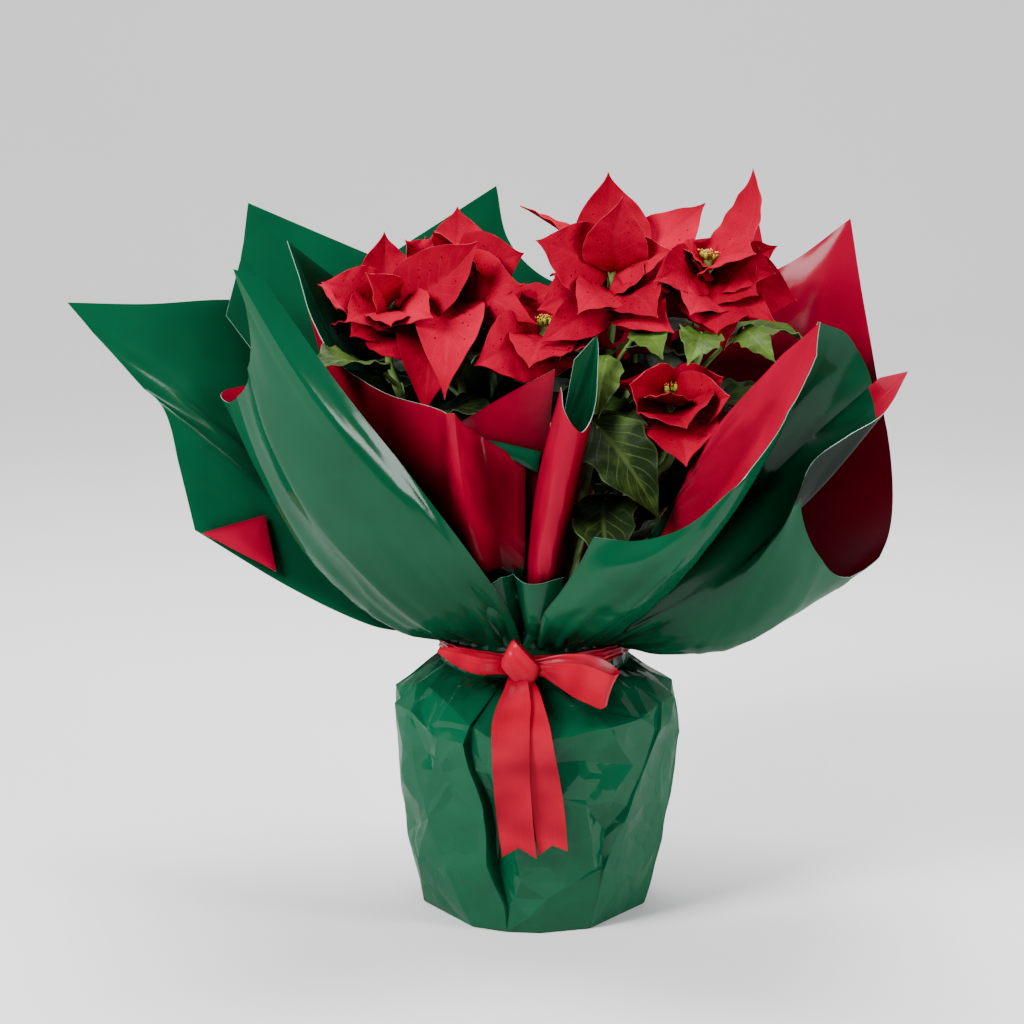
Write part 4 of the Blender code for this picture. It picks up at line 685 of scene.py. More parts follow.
# The right roll's doubled edge: its rows of faces, and those of its folded tip with where that starts
# along X. The tip's upper face turns crimson at its edge, which is given in metres.
DOUBLED_ROWS = 37
TIP_ROWS = 22
TIP_START = 165.0
TIP_EDGE = 0.190
# The height below which the inside of the right roll lies in the roll's own shade
MOUTH_TOP = 318.0
# The deep and the lit colour of the film's two faces, and of the crumpled film of the cup
FILM_GREEN = ((0.0008, 0.044, 0.0175), (0.0011, 0.053, 0.0215))
FILM_CRIMSON = ((0.215, 0.000, 0.014), (0.255, 0.000, 0.018))
FILM_CRUMPLED = ((0.0008, 0.052, 0.0215), (0.0012, 0.062, 0.0265))
# The two sizes of creases that cross the cup's film: turn and scale of their cells, and depth
CRINKLES = (((0.6, 0.4, 0.9), 32.0, 0.0038), ((0.2, 1.1, 0.5), 78.0, 0.0003))
# Small folded corners that lie on a panel and show its other side: the points along each side of
# their nets, how far they bulge, and then for each its four corners and the face's colour
FLAP_STEPS = 14
FLAP_BULGE = 1.6
FLAPS = {
    "wing": ([(-203, 20.5, 224), (-165, 27.5, 234), (-157, 10.5, 202), (-180, 15.5, 213)], "crimson"),
    "web": ([(-28, -37, 290), (3, -44, 284), (1, -46, 272), (-18, -42, 281)], "green"),
}
# The cup's outer side from its top down to the edge of the base, as (height, radius)
SLEEVE_PROFILE = [
    (181, 52.5), (174, 54.0), (166, 55.2), (159, 55.8), (152, 56.6), (147, 66), (139, 80.5), (127, 87.5),
    (102, 86.2), (68, 81), (32, 75), (6, 70.2), (1.2, 69.0),
]
SLEEVE_LENGTH = 198.4
# The flat underside: how high it lies, and its radius as a share of that of the side's lower edge
BASE_LIFT = 0.2
BASE_SHARE = 0.988
# The faint wander of the cup's creases, in two sizes: scale and reach
WANDERS = ((0.045, 1.3), (0.16, 0.12))
# Creases of the cup: the corners that each passes, as (angle, way down the side, lift), and the drop
# of the film beside it where it lies folded over, as one number or one for each corner between its
# ends. A minus sign says that it drops on the side of the smaller angles.
CUP_CREASES_SEEN = [
    ([(198, 30, 0), (204, 52, 0.6), (198, 68, 0.9), (199, 118, 1.2), (191, 153, 0.8), (190, 198.4, 0)],
     (-2.0, -4.5, -5.5, -3.0)),
    ([(216, 30, 0), (213, 50, 0.5), (213, 68, 1.4), (215, 102, 1.4), (219, 132, 1.4), (226, 164, 1.2),
      (237, 198.4, 0)], -1.3),
    ([(252, 30, 0), (244, 68, 1.6), (242, 79, 1.6), (245, 97, 1.4), (249, 119, 1.4), (249, 156, 1.0),
      (255, 184, 0.4), (256, 198.4, 0)], (2.2, 4.6, 3.2, 6.0, 7.0, 2.6)),
    ([(258, 44, -0.5), (256, 57, -3.6), (252.5, 74, -0.4), (251, 98, -1.6), (254.5, 131, -5.2),
      (254.5, 154, -4.5)], 0),
    ([(260, 64, 1.0), (256, 93, 1.2), (260, 128, 1.6), (263, 163, 1.4)], 0),
    ([(254.5, 154, -4.5), (263, 163, 1.4), (275, 175, 1.0), (272, 198.4, 0)], 0),
    ([(263, 163, 1.4), (259.5, 177, -1.2), (266, 190, 0.6)], 0),
    ([(291, 91, -4.2), (277, 73, 1.8)], 0),
    ([(291, 91, -4.2), (298, 71, 1.6)], 0),
    ([(291, 91, -4.2), (279, 110, 1.0)], 0),
    ([(291, 91, -4.2), (300, 115, 1.8)], 0),
    ([(291, 91, -4.2), (311, 96, 0.4)], 0),
    ([(277, 73, 1.8), (298, 71, 1.6)], 0),
    ([(282, 30, 0), (290, 48, 0.9), (303, 61, 1.3), (314, 68, 0.6)], -4.0),
    ([(290, 115, 1.4), (296, 157, 2.4), (288, 166, 0.8), (290, 115, 1.4)], 0),
    ([(290, 115, 1.4), (283, 140, -0.8), (288, 166, 0.8)], 0),
    ([(327, 40, 0.4), (330, 65, 1.4), (325, 78, 1.8), (317, 99, 1.8), (311, 122, 1.8), (301, 160, 1.6),
      (298.5, 198.4, 0)], (-1.0, -1.4, -0.8, -1.2, -1.2, -0.7)),
    ([(305, 118, 0.9), (302.5, 138, -3.2), (299, 158, 0.4)], 0),
    ([(350, 44, 0.4), (343, 79, 1.8), (341.5, 103, 1.9), (342, 130, 1.9), (344, 156, 1.7), (347, 198.4, 0)],
     5.5),
    ([(360, 60, 0.8), (353.5, 90, 1.6), (352, 130, 1.7), (353.5, 165, 1.4), (354, 198.4, 0)], 0),
    ([(330, 30, 0), (338, 46, 1.2), (344, 64, 1.2)], 0),
    ([(228, 30, 0), (232, 58, 1.2)], 0),
    ([(240, 30, 0), (236, 50, -0.8)], 0),
    ([(180, 30, 0), (184, 62, 1.0)], 0),
    ([(264, 30, 0), (263, 58, 0.6)], 0),
    ([(216, 66, -1.8), (224, 74, 1.0)], 0),
    ([(221, 92, -1.8), (229, 80, 1.0)], 0),
    ([(378, 30, 0), (382, 68, 1.4), (384, 104, 1.4), (378, 150, 1.2), (380, 198.4, 0)], 2.6),
    ([(408, 30, 0), (406, 66, 1.2), (404, 104, 1.4), (411, 150, 1.2), (406, 198.4, 0)], -2.4),
    ([(432, 30, 0), (438, 68, 1.4), (433, 110, 1.2), (438, 155, 1.0), (432, 198.4, 0)], 2.4),
    ([(102, 30, 0), (100, 70, 1.4), (107, 112, 1.4), (103, 150, 1.0), (106, 198.4, 0)], -2.6),
    ([(132, 30, 0), (135, 66, 1.4), (129, 108, 1.4), (133, 152, 1.0), (130, 198.4, 0)], 2.4),
    ([(162, 30, 0), (156, 70, 1.4), (163, 112, 1.4), (158, 152, 1.2), (162, 198.4, 0)], -2.6),
]
# Seed of the draws of the cup's net and of the wander of its creases
NET_SEED = 29
# The angle at which the cup's net of facets starts and ends, at the back, how far in degrees other
# corners keep off it, and its own corners below the pleats
CUP_SEAM = 90
SEAM_CLEAR = 7
SEAM_STOPS = (45, 57, 71, 96, 130, 167, 198.4)
# Rows of the tight pleats at the tie: the way down of each and how far its pleats stand out
PLEAT_ROWS = ((0, 1.0), (8, 0.6), (16, 0.3), (23, 0.3), (30, 1.0))
PLEAT_TURN = 6
# The foot of a folded crease lies this many degrees to its side for each millimetre of its drop, and
# at least so many
FOLD_TURN = 0.32
FOLD_LEAST = 0.7
# Loose corners between the creases: the way down of each row, its spacing, scatter and lift
LOOSE_ROWS = ((44, 22, 5, 1.2), (70, 16, 3, 1.3), (98, 24, 9, 1.5), (132, 26, 10, 1.5), (166, 26, 8, 1.2))
# How far they keep off the creases, the way round the cup for a degree, and the longest edge of its mesh
LOOSE_CLEAR = 8.0
MM_PER_DEGREE = 1.31
CUP_MESH = 2.5
# How much deeper the facets are made than the corners are listed
FACET_LIFT = 1.35

# Ribbon as it is seen
SATIN_THICK = 0.5
# The band round the neck is drawn into a narrow bunch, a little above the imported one's middle
BAND_BUNCH = 8.0
BAND_RAISE = 3.2
STRIP_FINE_STEPS = 90
STRIP_COLUMNS = 15
# Each loose stretch as it is seen: the points that it passes with its width at each, the direction of
# its width at equal steps along it, how deep its pleats are at the knot and the notch in its end
SEEN_STRIPS = {
    "loop_right": (
        [(-3, -71, 161, 6), (5, -76, 161.5, 8), (14, -82, 160.5, 14), (25, -87.5, 158, 20),
         (35, -91, 154.5, 21), (40.5, -91.5, 152.5, 21), (44, -87, 154, 20), (37, -80, 160, 17),
         (26, -76, 164.5, 13), (14, -73, 166, 8), (3, -70, 164, 6), (-4, -68, 162, 6)],
        [(0.1, 0, 1), (0.2, 0, 1), (0.32, 0.05, 1), (0.36, 0, 1), (0.36, 0.1, 1), (0.3, 0.3, 1),
         (0.2, 0.3, 1), (0.1, 0.2, 1)],
        0.5, 0.0,
    ),
    "loop_left": (
        [(-14, -73, 162, 8.0), (-22, -74, 163, 8.5), (-31, -73, 163, 9.8), (-40, -71.5, 165, 9.6),
         (-49, -69.5, 168, 6.5), (-55, -67, 170.5, 3.5), (-56.5, -65.5, 171, 3), (-54, -64.5, 170.5, 4.5),
         (-46, -65.5, 168.5, 8), (-34, -66.5, 166, 9), (-22, -68, 164, 9), (-13, -68, 162, 8)],
        [(0, 0.3, 1), (0.1, 0.6, 1), (0.2, 0.7, 1), (0.5, 0.8, 1), (0.3, 0.8, 1), (0.1, 0.8, 1), (0, 0.6, 1)],
        0.35, 0.0,
    ),
    "tail_left": (
        [(-10, -71, 160, 10), (-11.5, -83, 152, 15), (-13, -91, 144, 20), (-14.5, -95.5, 134, 22),
         (-14.5, -96, 118, 21.5), (-14, -94.5, 100, 21), (-12, -91.5, 76, 20.5), (-9.5, -88, 53, 20)],
        [(1, 0, 0.2), (1, 0.1, 0.1), (1, 0.12, 0.0), (1, 0.06, 0), (1, 0, 0), (1, 0, -0.05)],
        0.3, 6.0,
    ),
    "tail_right": (
        [(-7, -69, 158, 8), (-4, -80, 151, 12), (-3, -87.5, 143, 16), (-1.5, -92.5, 132, 19),
         (1, -93, 116, 19.5), (4, -91.5, 100, 19.5), (7.5, -88.5, 78, 18.5), (10, -85.5, 55, 17)],
        [(1, 0, -0.25), (1, 0.0, -0.15), (1, -0.06, 0.0), (1, -0.04, 0), (1, 0.05, 0.05), (1, 0, 0.16)],
        0.3, 5.0,
    ),
}
# How soon the pleats at the knot die out
STRIP_TIED = 9.0
# The knot as it is seen: its width, depth and length, its middle, its lean in degrees and its slant
KNOT_SEEN = (16.0, 15.0, 24.5)
KNOT_MIDDLE = (-9.0, -71.0, 163.2)
KNOT_TURN = -43.0
KNOT_SLANT = 2.7

# Plant as it is seen: a blade's thickness, and the rows and columns of its net
SEEN_THICK = 0.45
FINE_ROWS = 34
FINE_COLUMNS = 13
# Half widths along a finer blade, as shares of the widest
FINE_BRACT = [
    (0.0, 0.10), (0.05, 0.18), (0.10, 0.44), (0.18, 0.80), (0.27, 0.97), (0.38, 1.0), (0.50, 0.96),
    (0.62, 0.83), (0.74, 0.60), (0.84, 0.34), (0.92, 0.13), (0.97, 0.04), (1.0, 0.0),
]
FINE_LEAF = [
    (0.0, 0.08), (0.04, 0.30), (0.10, 0.60), (0.20, 0.82), (0.29, 1.0), (0.35, 0.90), (0.42, 0.84),
    (0.50, 0.90), (0.56, 0.84), (0.66, 0.60), (0.78, 0.38), (0.90, 0.13), (0.96, 0.05), (1.0, 0.0),
]
# Side veins along a blade, how far they sweep forward, and how high its edge waves
BRACT_VEINS = (9.0, 2.6)
LEAF_VEINS = (8.0, 2.4)
BRACT_RIPPLE = 0.7
LEAF_RIPPLE = 1.2
BRACT_WIDER = 1.30
# How far the bracts that lean to the front turn their faces to it
FACING = (0.2, 1.0)
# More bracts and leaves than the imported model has, placed by the same rules in the gaps
MORE_BRACTS = 8
MORE_BRACT_LAYERS = [
    ((2, 16), (40, 50), 32, 0.12),
    ((-28, -12), (40, 52), 34, 0.14),
    ((26, 42), (28, 36), 24, -0.10),
    ((-44, -30), (34, 44), 30, 0.14),
]
MORE_LEAVES = 6
MORE_LEAF_HEIGHT = (0.62, 0.94)
# Painted shade on the leaves low in the plant: a leaf is dark up to the first height and light from so much
# above it
LEAF_SHADE_BELOW = 318.0
LEAF_SHADE_RISE = 60.0
# Cups of each cluster and stamens of each cup, the spacing and the lean of the cups, and the outlines
# of both as (radius, height)
CYATHIA_SEEN = 9
STAMENS_SEEN = 5
CYATHIA_SPACING = 1.55
CYATHIA_LEAN = 0.075
CYATHIA_CUP = (
    (0.5, 0.0), (1.0, 0.5), (1.35, 1.5), (1.4, 2.6), (1.15, 3.4), (1.2, 3.9), (0.95, 4.1), (0.6, 3.8),
)
STAMEN = ((0.16, 0.0), (0.14, 1.2), (0.38, 1.5), (0.36, 2.1), (0.15, 2.3))

# How the openness of each point is found, which deepens the colour of film, satin, bracts and leaves as
# painted shade where it is low: rays, how far they look and where they start, in metres, and how often it is
# then evened out with its neighbours
OPEN_RAYS = 10
OPEN_REACH = 0.14
OPEN_START = 0.0007
OPEN_BLURS = 2
# Panels whose lower part lies out of the light: the least share of its openness that it keeps, and
# the heights in metres between which that rises to all of it
PANEL_SHADES = {
    "film_right_fold": (0.25, 0.24, 0.40),
    "film_inner_web": (0.35, 0.27, 0.36),
}
# The same for the inside of the right roll
MOUTH_SHADE = (0.05, 0.315, 0.345)

# Softboxes: place, what each looks at, size and power, all in metres and watts
LIGHTS = {
    "softbox left": ((-1.5, -1.3, 1.6), (0.0, 0.0, 0.22), (0.7, 1.0), 134.0),
    "softbox right": ((1.7, -0.9, 1.0), (0.0, 0.0, 0.22), (0.5, 0.9), 48.0),
    "softbox above": ((0.1, 0.5, 1.9), (0.0, 0.0, 0.22), (1.0, 0.8), 60.0),
    "softbox behind": ((0.0, 1.5, 2.6), (0.0, 3.4, 0.7), (2.4, 0.8), 58.0),
}
# The floor's outline from its middle outwards, as (radius, height) in metres
STAGE_PROFILE = (
    (0.0, 0.0), (1.6, 0.0), (2.4, 0.02), (3.0, 0.16), (3.5, 0.55), (3.8, 1.2), (3.9, 2.2), (3.9, 4.0),
)


def make(tree, kind, inputs=None, output=0, **settings):
    """Adds a node, sets or links its inputs, and returns one of its outputs."""
    node = tree.nodes.new(kind)
    for setting, value in settings.items():
        setattr(node, setting, value)
    for socket, value in (inputs or {}).items():
        if isinstance(value, bpy.types.NodeSocket):
            tree.links.new(value, node.inputs[socket])
        else:
            node.inputs[socket].default_value = value
    return node.outputs[output]


def calculate(tree, operation, first, second=0.0):
    return make(tree, "ShaderNodeMath", {0: first, 1: second}, operation=operation)


def between(tree, value, low, high, start=0.0, end=1.0):
    """Turns the range from low to high into start to end, with the ends held."""
    return make(tree, "ShaderNodeMapRange", {0: value, 1: low, 2: high, 3: start, 4: end})


def mixed(tree, share, first, second):
    colours = {0: share, 6: (*first, 1.0) if isinstance(first, tuple) else first}
    colours[7] = (*second, 1.0) if isinstance(second, tuple) else second
    return make(tree, "ShaderNodeMix", colours, output=2, data_type="RGBA")


def noise(tree, place, scale, detail=2.0, roughness=0.5):
    inputs = {"Vector": place, "Scale": scale, "Detail": detail, "Roughness": roughness}
    return make(tree, "ShaderNodeTexNoise", inputs)


def stretched(tree, place, scale):
    return make(tree, "ShaderNodeMapping", {"Vector": place, "Scale": scale})


def bumped(tree, height, strength, distance, under=None):
    inputs = {"Height": height, "Strength": strength, "Distance": distance}
    if under:
        inputs["Normal"] = under
    return make(tree, "ShaderNodeBump", inputs)


def new_material(name, **constants):
    """A material and its tree, its shader's constants set by name."""
    material = bpy.data.materials.new(name)
    material.use_nodes = True
    tree = material.node_tree
    shader = tree.nodes["Principled BSDF"]
    for socket, value in constants.items():
        shader.inputs[socket.replace("_", " ")].default_value = value
    return material, tree, shader


def object_place(tree):
    return make(tree, "ShaderNodeTexCoord", output=3)


def stored(tree, name):
    """A value that the mesh keeps for each of its points."""
    return make(tree, "ShaderNodeAttribute", attribute_name=name, output=2)


def axes_of(tree, place):
    parts = tree.nodes.new("ShaderNodeSeparateXYZ")
    tree.links.new(place, parts.inputs[0])
    return parts.outputs


def set_relief(tree, shader, normal):
    """Bends the light on the film and on its gloss."""
    for socket in ("Normal", "Coat Normal"):
        tree.links.new(normal, shader.inputs[socket])


def film_material(name, deep, lit, gloss, smooth):
    """Smooth printed film: even colour under a thin clear gloss, faint haze and tiny dents, and painted shade
    where folds and layers close it off.
    """
    material, tree, shader = new_material(
        name, Specular_IOR_Level=0.0, Roughness=0.5, Coat_Weight=gloss, Coat_Roughness=smooth, Coat_IOR=1.6
    )
    place = object_place(tree)
    haze = noise(tree, place, 22, 3)
    tint = mixed(tree, between(tree, haze, 0.35, 0.68), deep, lit)
    tree.links.new(shaded(tree, tint, deep, 0.10, 0.80), shader.inputs["Base Color"])
    dents = bumped(tree, noise(tree, place, 60, 2), 0.16, 0.0012)
    return material, tree, shader, dents


def shaded(tree, tint, deep, least, enough):
    """The colour with painted shade: deepened where folds and layers close a point off from the room."""
    # The painted shade's colour: the deep colour darkened by the least share
    closed = tuple(channel * least for channel in deep)
    return mixed(tree, between(tree, stored(tree, "open"), 0.08, enough), closed, tint)


def flat_film(name, deep, lit, gloss, smooth):
    material, tree, shader, dents = film_material(name, deep, lit, gloss, smooth)
    set_relief(tree, shader, dents)
    return material


def tipped_film(name, green, crimson, gloss, smooth):
    """Green film that turns crimson past the line where its tip is folded over."""
    material, tree, shader, dents = film_material(name, *green, gloss, smooth)
    past = between(tree, axes_of(tree, object_place(tree))[0], TIP_EDGE, TIP_EDGE + 0.0002)
    base = shader.inputs["Base Color"]
    tree.links.new(mixed(tree, past, base.links[0].from_socket, crimson), base)
    set_relief(tree, shader, dents)
    return material


def crinkled_film(name, deep, lit, gloss, smooth):
    """The cup's film: crumpled, so that it breaks into small flat facets of two sizes."""
    material, tree, shader, dents = film_material(name, deep, lit, gloss, smooth)
    place = object_place(tree)
    drift = make(tree, "ShaderNodeTexNoise", {"Vector": place, "Scale": 24.0, "Detail": 1.0}, output=1)
    drift = make(tree, "ShaderNodeVectorMath", {0: drift, "Scale": 0.016}, operation="SCALE")
    place = make(tree, "ShaderNodeVectorMath", {0: place, 1: drift}, operation="ADD")
    relief = dents
    for turn, scale, depth in CRINKLES:
        turned = make(tree, "ShaderNodeMapping", {"Vector": place, "Rotation": turn})
        cells = make(tree, "ShaderNodeTexVoronoi", {"Vector": turned, "Scale": scale}, distance="CHEBYCHEV")
        relief = bumped(tree, cells, 1.0, depth, relief)
    set_relief(tree, shader, relief)
    return material


def film_edge_material():
    material, tree, shader = new_material("cut edge of the film", Roughness=0.4)
    tint = mixed(tree, noise(tree, object_place(tree), 60), (0.06, 0.17, 0.11), (0.16, 0.28, 0.21))
    tree.links.new(tint, shader.inputs["Base Color"])
    return material


def satin_material():
    """Woven satin: soft bands of painted sheen and shade along the ribbon, streaks of a brighter red, and a
    fine rib.
    """
    material, tree, shader = new_material("red satin", Anisotropic=0.4, Specular_IOR_Level=0.07)
    woven = make(tree, "ShaderNodeUVMap", uv_map="surface")
    streaks = between(tree, noise(tree, stretched(tree, woven, (900, 14, 1)), 1.0, 2), 0.3, 0.7)
    # Painted sheen and shade: broad soft bands along the ribbon, from its shadow to its bright red
    painted_sheen = between(tree, noise(tree, stretched(tree, woven, (22, 34, 1)), 1.0, 1), 0.34, 0.60)
    shadow, bright = (0.15, 0.000, 0.008), (0.35, 0.000, 0.016)
    share = calculate(tree, "MULTIPLY", painted_sheen, between(tree, streaks, 0, 1, 0.9, 1.0))
    tint = mixed(tree, share, shadow, bright)
    tree.links.new(shaded(tree, tint, shadow, 0.40, 0.66), shader.inputs["Base Color"])
    tree.links.new(between(tree, streaks, 0, 1, 0.24, 0.28), shader.inputs["Roughness"])
    ribs = make(
        tree, "ShaderNodeTexWave", {"Vector": woven, "Scale": 700.0}, output=1, bands_direction="Y"
    )
    rib_bump = bumped(tree, ribs, 0.08, 0.0002)
    tree.links.new(bumped(tree, streaks, 0.015, 0.0003, rib_bump), shader.inputs["Normal"])
    return material


def vein_masks(tree, veins, sweep):
    """Masks of the midrib and the side veins, and the share out from the midrib."""
    across, along = axes_of(tree, make(tree, "ShaderNodeUVMap", uv_map="surface"))[:2]
    centred = make(tree, "ShaderNodeMath", {0: across, 1: 2.0, 2: -1.0}, operation="MULTIPLY_ADD")
    out = calculate(tree, "ABSOLUTE", centred)
    midrib = between(tree, out, 0.03, 0.10, 1.0, 0.0)
    climb = calculate(tree, "MULTIPLY", along, veins)
    swept = calculate(tree, "SUBTRACT", climb, calculate(tree, "MULTIPLY", out, sweep))
    side = between(tree, calculate(tree, "PINGPONG", swept, 0.5), 0.02, 0.085, 1.0, 0.0)
    faded = calculate(tree, "MULTIPLY", side, between(tree, out, 0.55, 0.98, 1.0, 0.15))
    return midrib, faded, out


def blade_material(name, deep, lit, vein, roughness, veins, relief, vein_share, gloss=0.06):
    """A leaf's or bract's face: mottled colour, paler veins, and quilting between them.

    Roughness and relief say how dull it is and how deep its veins lie, and veins says how many side
    veins it has and how far they sweep forward.
    """
    material, tree, shader = new_material(name, Specular_IOR_Level=gloss)
    midrib, side, out = vein_masks(tree, *veins)
    place = object_place(tree)
    mottle = noise(tree, place, 48, 4, 0.6)
    # The tone is each blade's own random tone, and on a leaf also painted shade by its height
    share = calculate(tree, "ADD", stored(tree, "tone"), between(tree, mottle, 0.3, 0.7, -0.30, 0.30))
    face = mixed(tree, between(tree, share, 0.0, 1.0), deep, lit)
    lines = calculate(tree, "MAXIMUM", midrib, side)
    edge = between(tree, out, 0.93, 1.0, 0.0, 0.8)
    pale = calculate(tree, "MULTIPLY", calculate(tree, "MAXIMUM", lines, edge), vein_share)
    tint = mixed(tree, pale, face, vein)
    tree.links.new(shaded(tree, tint, deep, 0.42, 0.46), shader.inputs["Base Color"])
    rough = between(tree, mottle, 0.3, 0.7, roughness - 0.06, roughness + 0.08)
    tree.links.new(rough, shader.inputs["Roughness"])
    quilt = bumped(tree, noise(tree, place, 380, 2), 0.2 * relief, 0.0005)
    tree.links.new(bumped(tree, lines, -0.5 * relief, 0.0009, quilt), shader.inputs["Normal"])
    return material


def grained_material(name, deep, lit, mottle, grain, strength, distance, **constants):
    """Two colours mottled together under a fine bump, each from its own scale and detail of noise."""
    material, tree, shader = new_material(name, **constants)
    place = object_place(tree)
    tint = mixed(tree, between(tree, noise(tree, place, *mottle), 0.3, 0.7), deep, lit)
    tree.links.new(tint, shader.inputs["Base Color"])
    bump = bumped(tree, noise(tree, place, *grain), strength, distance)
    tree.links.new(bump, shader.inputs["Normal"])
    return material


def bead_material():
    """The cyathia: green cups that turn yellow at their mouths."""
    material, tree, shader = new_material("cyathia yellow green", Specular_IOR_Level=0.5, Roughness=0.38)
    share = between(tree, stored(tree, "tone"), 0.35, 0.75)
    ripe = mixed(tree, share, (0.12, 0.24, 0.02), (0.52, 0.46, 0.04))
    speck = between(tree, noise(tree, object_place(tree), 700, 1), 0.45, 0.65, 0.0, 0.35)
    tree.links.new(mixed(tree, speck, ripe, (0.75, 0.62, 0.12)), shader.inputs["Base Color"])
    return material


def stamen_material():
    """Red threads that turn yellow at their heads."""
    material, tree, shader = new_material("stamen red", Roughness=0.5)
    share = between(tree, stored(tree, "tone"), 0.2, 0.8)
    tint = mixed(tree, share, (0.40, 0.02, 0.01), (0.65, 0.42, 0.03))
    tree.links.new(tint, shader.inputs["Base Color"])
    return material


def make_materials():
    """Every finish, by the name that the pieces ask for."""
    pink = (0.50, 0.03, 0.06)
    return {
        "green": flat_film("green film", *FILM_GREEN, 0.21, 0.15),
        "crimson": flat_film("crimson film", *FILM_CRIMSON, 0.10, 0.18),
        "tipped": tipped_film("green film with a crimson tip", FILM_GREEN, FILM_CRIMSON[0], 0.21, 0.15),
        # A copy of the crimson film without its gloss: painted shade for the inside of the right roll, where
        # the roll's own shade keeps the lamps' reflection off
        "crimson_in_shade": flat_film("crimson film inside the roll", *FILM_CRIMSON, 0.01, 0.40),
        "crinkled": crinkled_film("crumpled green film", *FILM_CRUMPLED, 0.25, 0.05),
        "cut": film_edge_material(),
        "satin": satin_material(),
        "bract": blade_material(
            "bract red", (0.20, 0.000, 0.011), (0.35, 0.000, 0.020), pink,
            0.50, BRACT_VEINS, 1.0, 0.08, 0.0,
        ),
        "bract_back": blade_material(
            "bract underside", (0.09, 0.000, 0.005), (0.19, 0.000, 0.010), pink,
            0.6, BRACT_VEINS, 1.2, 0.10, 0.0,
        ),
        "bract_cut": blade_material(
            "bract rim", (0.24, 0.004, 0.01), (0.34, 0.02, 0.03), pink,
            0.5, BRACT_VEINS, 0.2, 0.3,
        ),
        # The leaf's deep colour is the painted shade of the low leaves
        "leaf": blade_material(
            "leaf green", (0.007, 0.016, 0.004), (0.090, 0.160, 0.022), (0.13, 0.19, 0.05),
            0.46, LEAF_VEINS, 1.3, 0.25,
        ),
        "leaf_back": blade_material(
            "leaf underside", (0.03, 0.07, 0.018), (0.12, 0.20, 0.055), (0.20, 0.27, 0.10),
            0.55, LEAF_VEINS, 1.0, 0.4,
        ),
        "stem": grained_material(
            "stem green", (0.06, 0.14, 0.025), (0.20, 0.30, 0.07), (90, 3), (300, 2), 0.2, 0.0005,
            Specular_IOR_Level=0.4, Roughness=0.5,
        ),
        "bead": bead_material(),
        "stamen": stamen_material(),
        "plastic": grained_material(
            "terracotta plastic", (0.26, 0.075, 0.035), (0.36, 0.12, 0.06), (30, 4), (900, 1), 0.08, 0.0003,
            Roughness=0.5,
        ),
        "peat": grained_material(
            "peat", (0.010, 0.006, 0.004), (0.07, 0.042, 0.024), (420, 5, 0.7), (420, 5, 0.7), 0.9, 0.002,
            Roughness=0.95,
        ),
    }


def new_object(name, data):
    obj = bpy.data.objects.new(name, data)
    bpy.context.scene.collection.objects.link(obj)
    return obj


def store(mesh, name, values):
    """Keeps a number or a vector for each point, for the materials and rules that ask for its name."""
    values = np.asarray(values, np.float32)
    kind, field = ("FLOAT_VECTOR", "vector") if values.ndim > 1 else ("FLOAT", "value")
    mesh.attributes.new(name, kind, "POINT").data.foreach_set(field, values.ravel())


def read_all(items, field, size, kind=np.float32):
    """One row for each item, with the given number of values of its field."""
    values = np.empty(len(items) * size, kind)
    items.foreach_get(field, values)
    return values.reshape(-1, size)


def mesh_object(name, points, faces, materials, slots=None, places=None, tones=None, crease=48):
    """An object from points in millimetres, with each face's material, a UV place and a tone.

    Edges that turn by more than the crease angle, in degrees, stay sharp.
    """
    mesh = bpy.data.meshes.new(name)
    mesh.from_pydata((np.asarray(points, float) * MM).tolist(), [], faces)
    for material in materials:
        mesh.materials.append(material)
    if slots is not None:
        mesh.polygons.foreach_set("material_index", np.asarray(slots, np.int32))
    if places is not None:
        corners = read_all(mesh.loops, "vertex_index", 1, np.int32)[:, 0]
        layer = mesh.uv_layers.new(name="surface")
        layer.data.foreach_set("uv", np.asarray(places, np.float32)[corners].ravel())
    if tones is not None:
        store(mesh, "tone", tones)
    mesh.update()
    mesh.shade_smooth()
    mesh.set_sharp_from_angle(angle=math.radians(crease))
    return new_object(name, mesh)


def scattered_rays(count):
    """Directions over a half sphere round +Z, closer together towards its top."""
    steps = (np.arange(count) + 0.5) / count
    turns = np.arange(count) * math.radians(GOLDEN_ANGLE)
    out = np.sqrt(steps)
    return np.stack([out * np.cos(turns), out * np.sin(turns), np.sqrt(1.0 - steps)], axis=-1)


def panel_shade(name, heights):
    """How much of its openness a panel keeps where it lies out of the light, by height in metres."""
    if name == "film_right_roll":
        share = np.ones(len(heights))
        inside = len(heights) // 2
        least, low, high = MOUTH_SHADE
        share[:inside] = np.interp(heights[:inside], (low, high), (least, 1.0))
        return share
    least, low, high = PANEL_SHADES.get(name, (1.0, 0.0, 1.0))
    return np.interp(heights, (low, high), (least, 1.0))


def free_view(tree, places, normals):
    """The share of the half sphere over each place that nothing in the tree closes nearby."""
    helper = np.where(np.abs(normals[:, 2:]) < 0.9, (0.0, 0.0, 1.0), (1.0, 0.0, 0.0))
    side = np.cross(helper, normals)
    side /= np.maximum(np.linalg.norm(side, axis=1), 1e-9)[:, None]
    up = np.cross(normals, side)
    starts = (places + normals * OPEN_START).tolist()
    free = np.zeros(len(places))
    for across, along, ahead in scattered_rays(OPEN_RAYS):
        ways = (side * across + up * along + normals * ahead).tolist()
        free += [tree.ray_cast(start, way, OPEN_REACH)[0] is None for start, way in zip(starts, ways)]
    return free / OPEN_RAYS


def evened_out(values, ends):
    """Each point's value averaged with those at the other ends of its edges."""
    for blur in range(OPEN_BLURS):
        total, count = values.copy(), np.ones(len(values))
        for here, there in ((0, 1), (1, 0)):
            np.add.at(total, ends[:, here], values[ends[:, there]])
            np.add.at(count, ends[:, here], 1.0)
        values = total / count
    return values


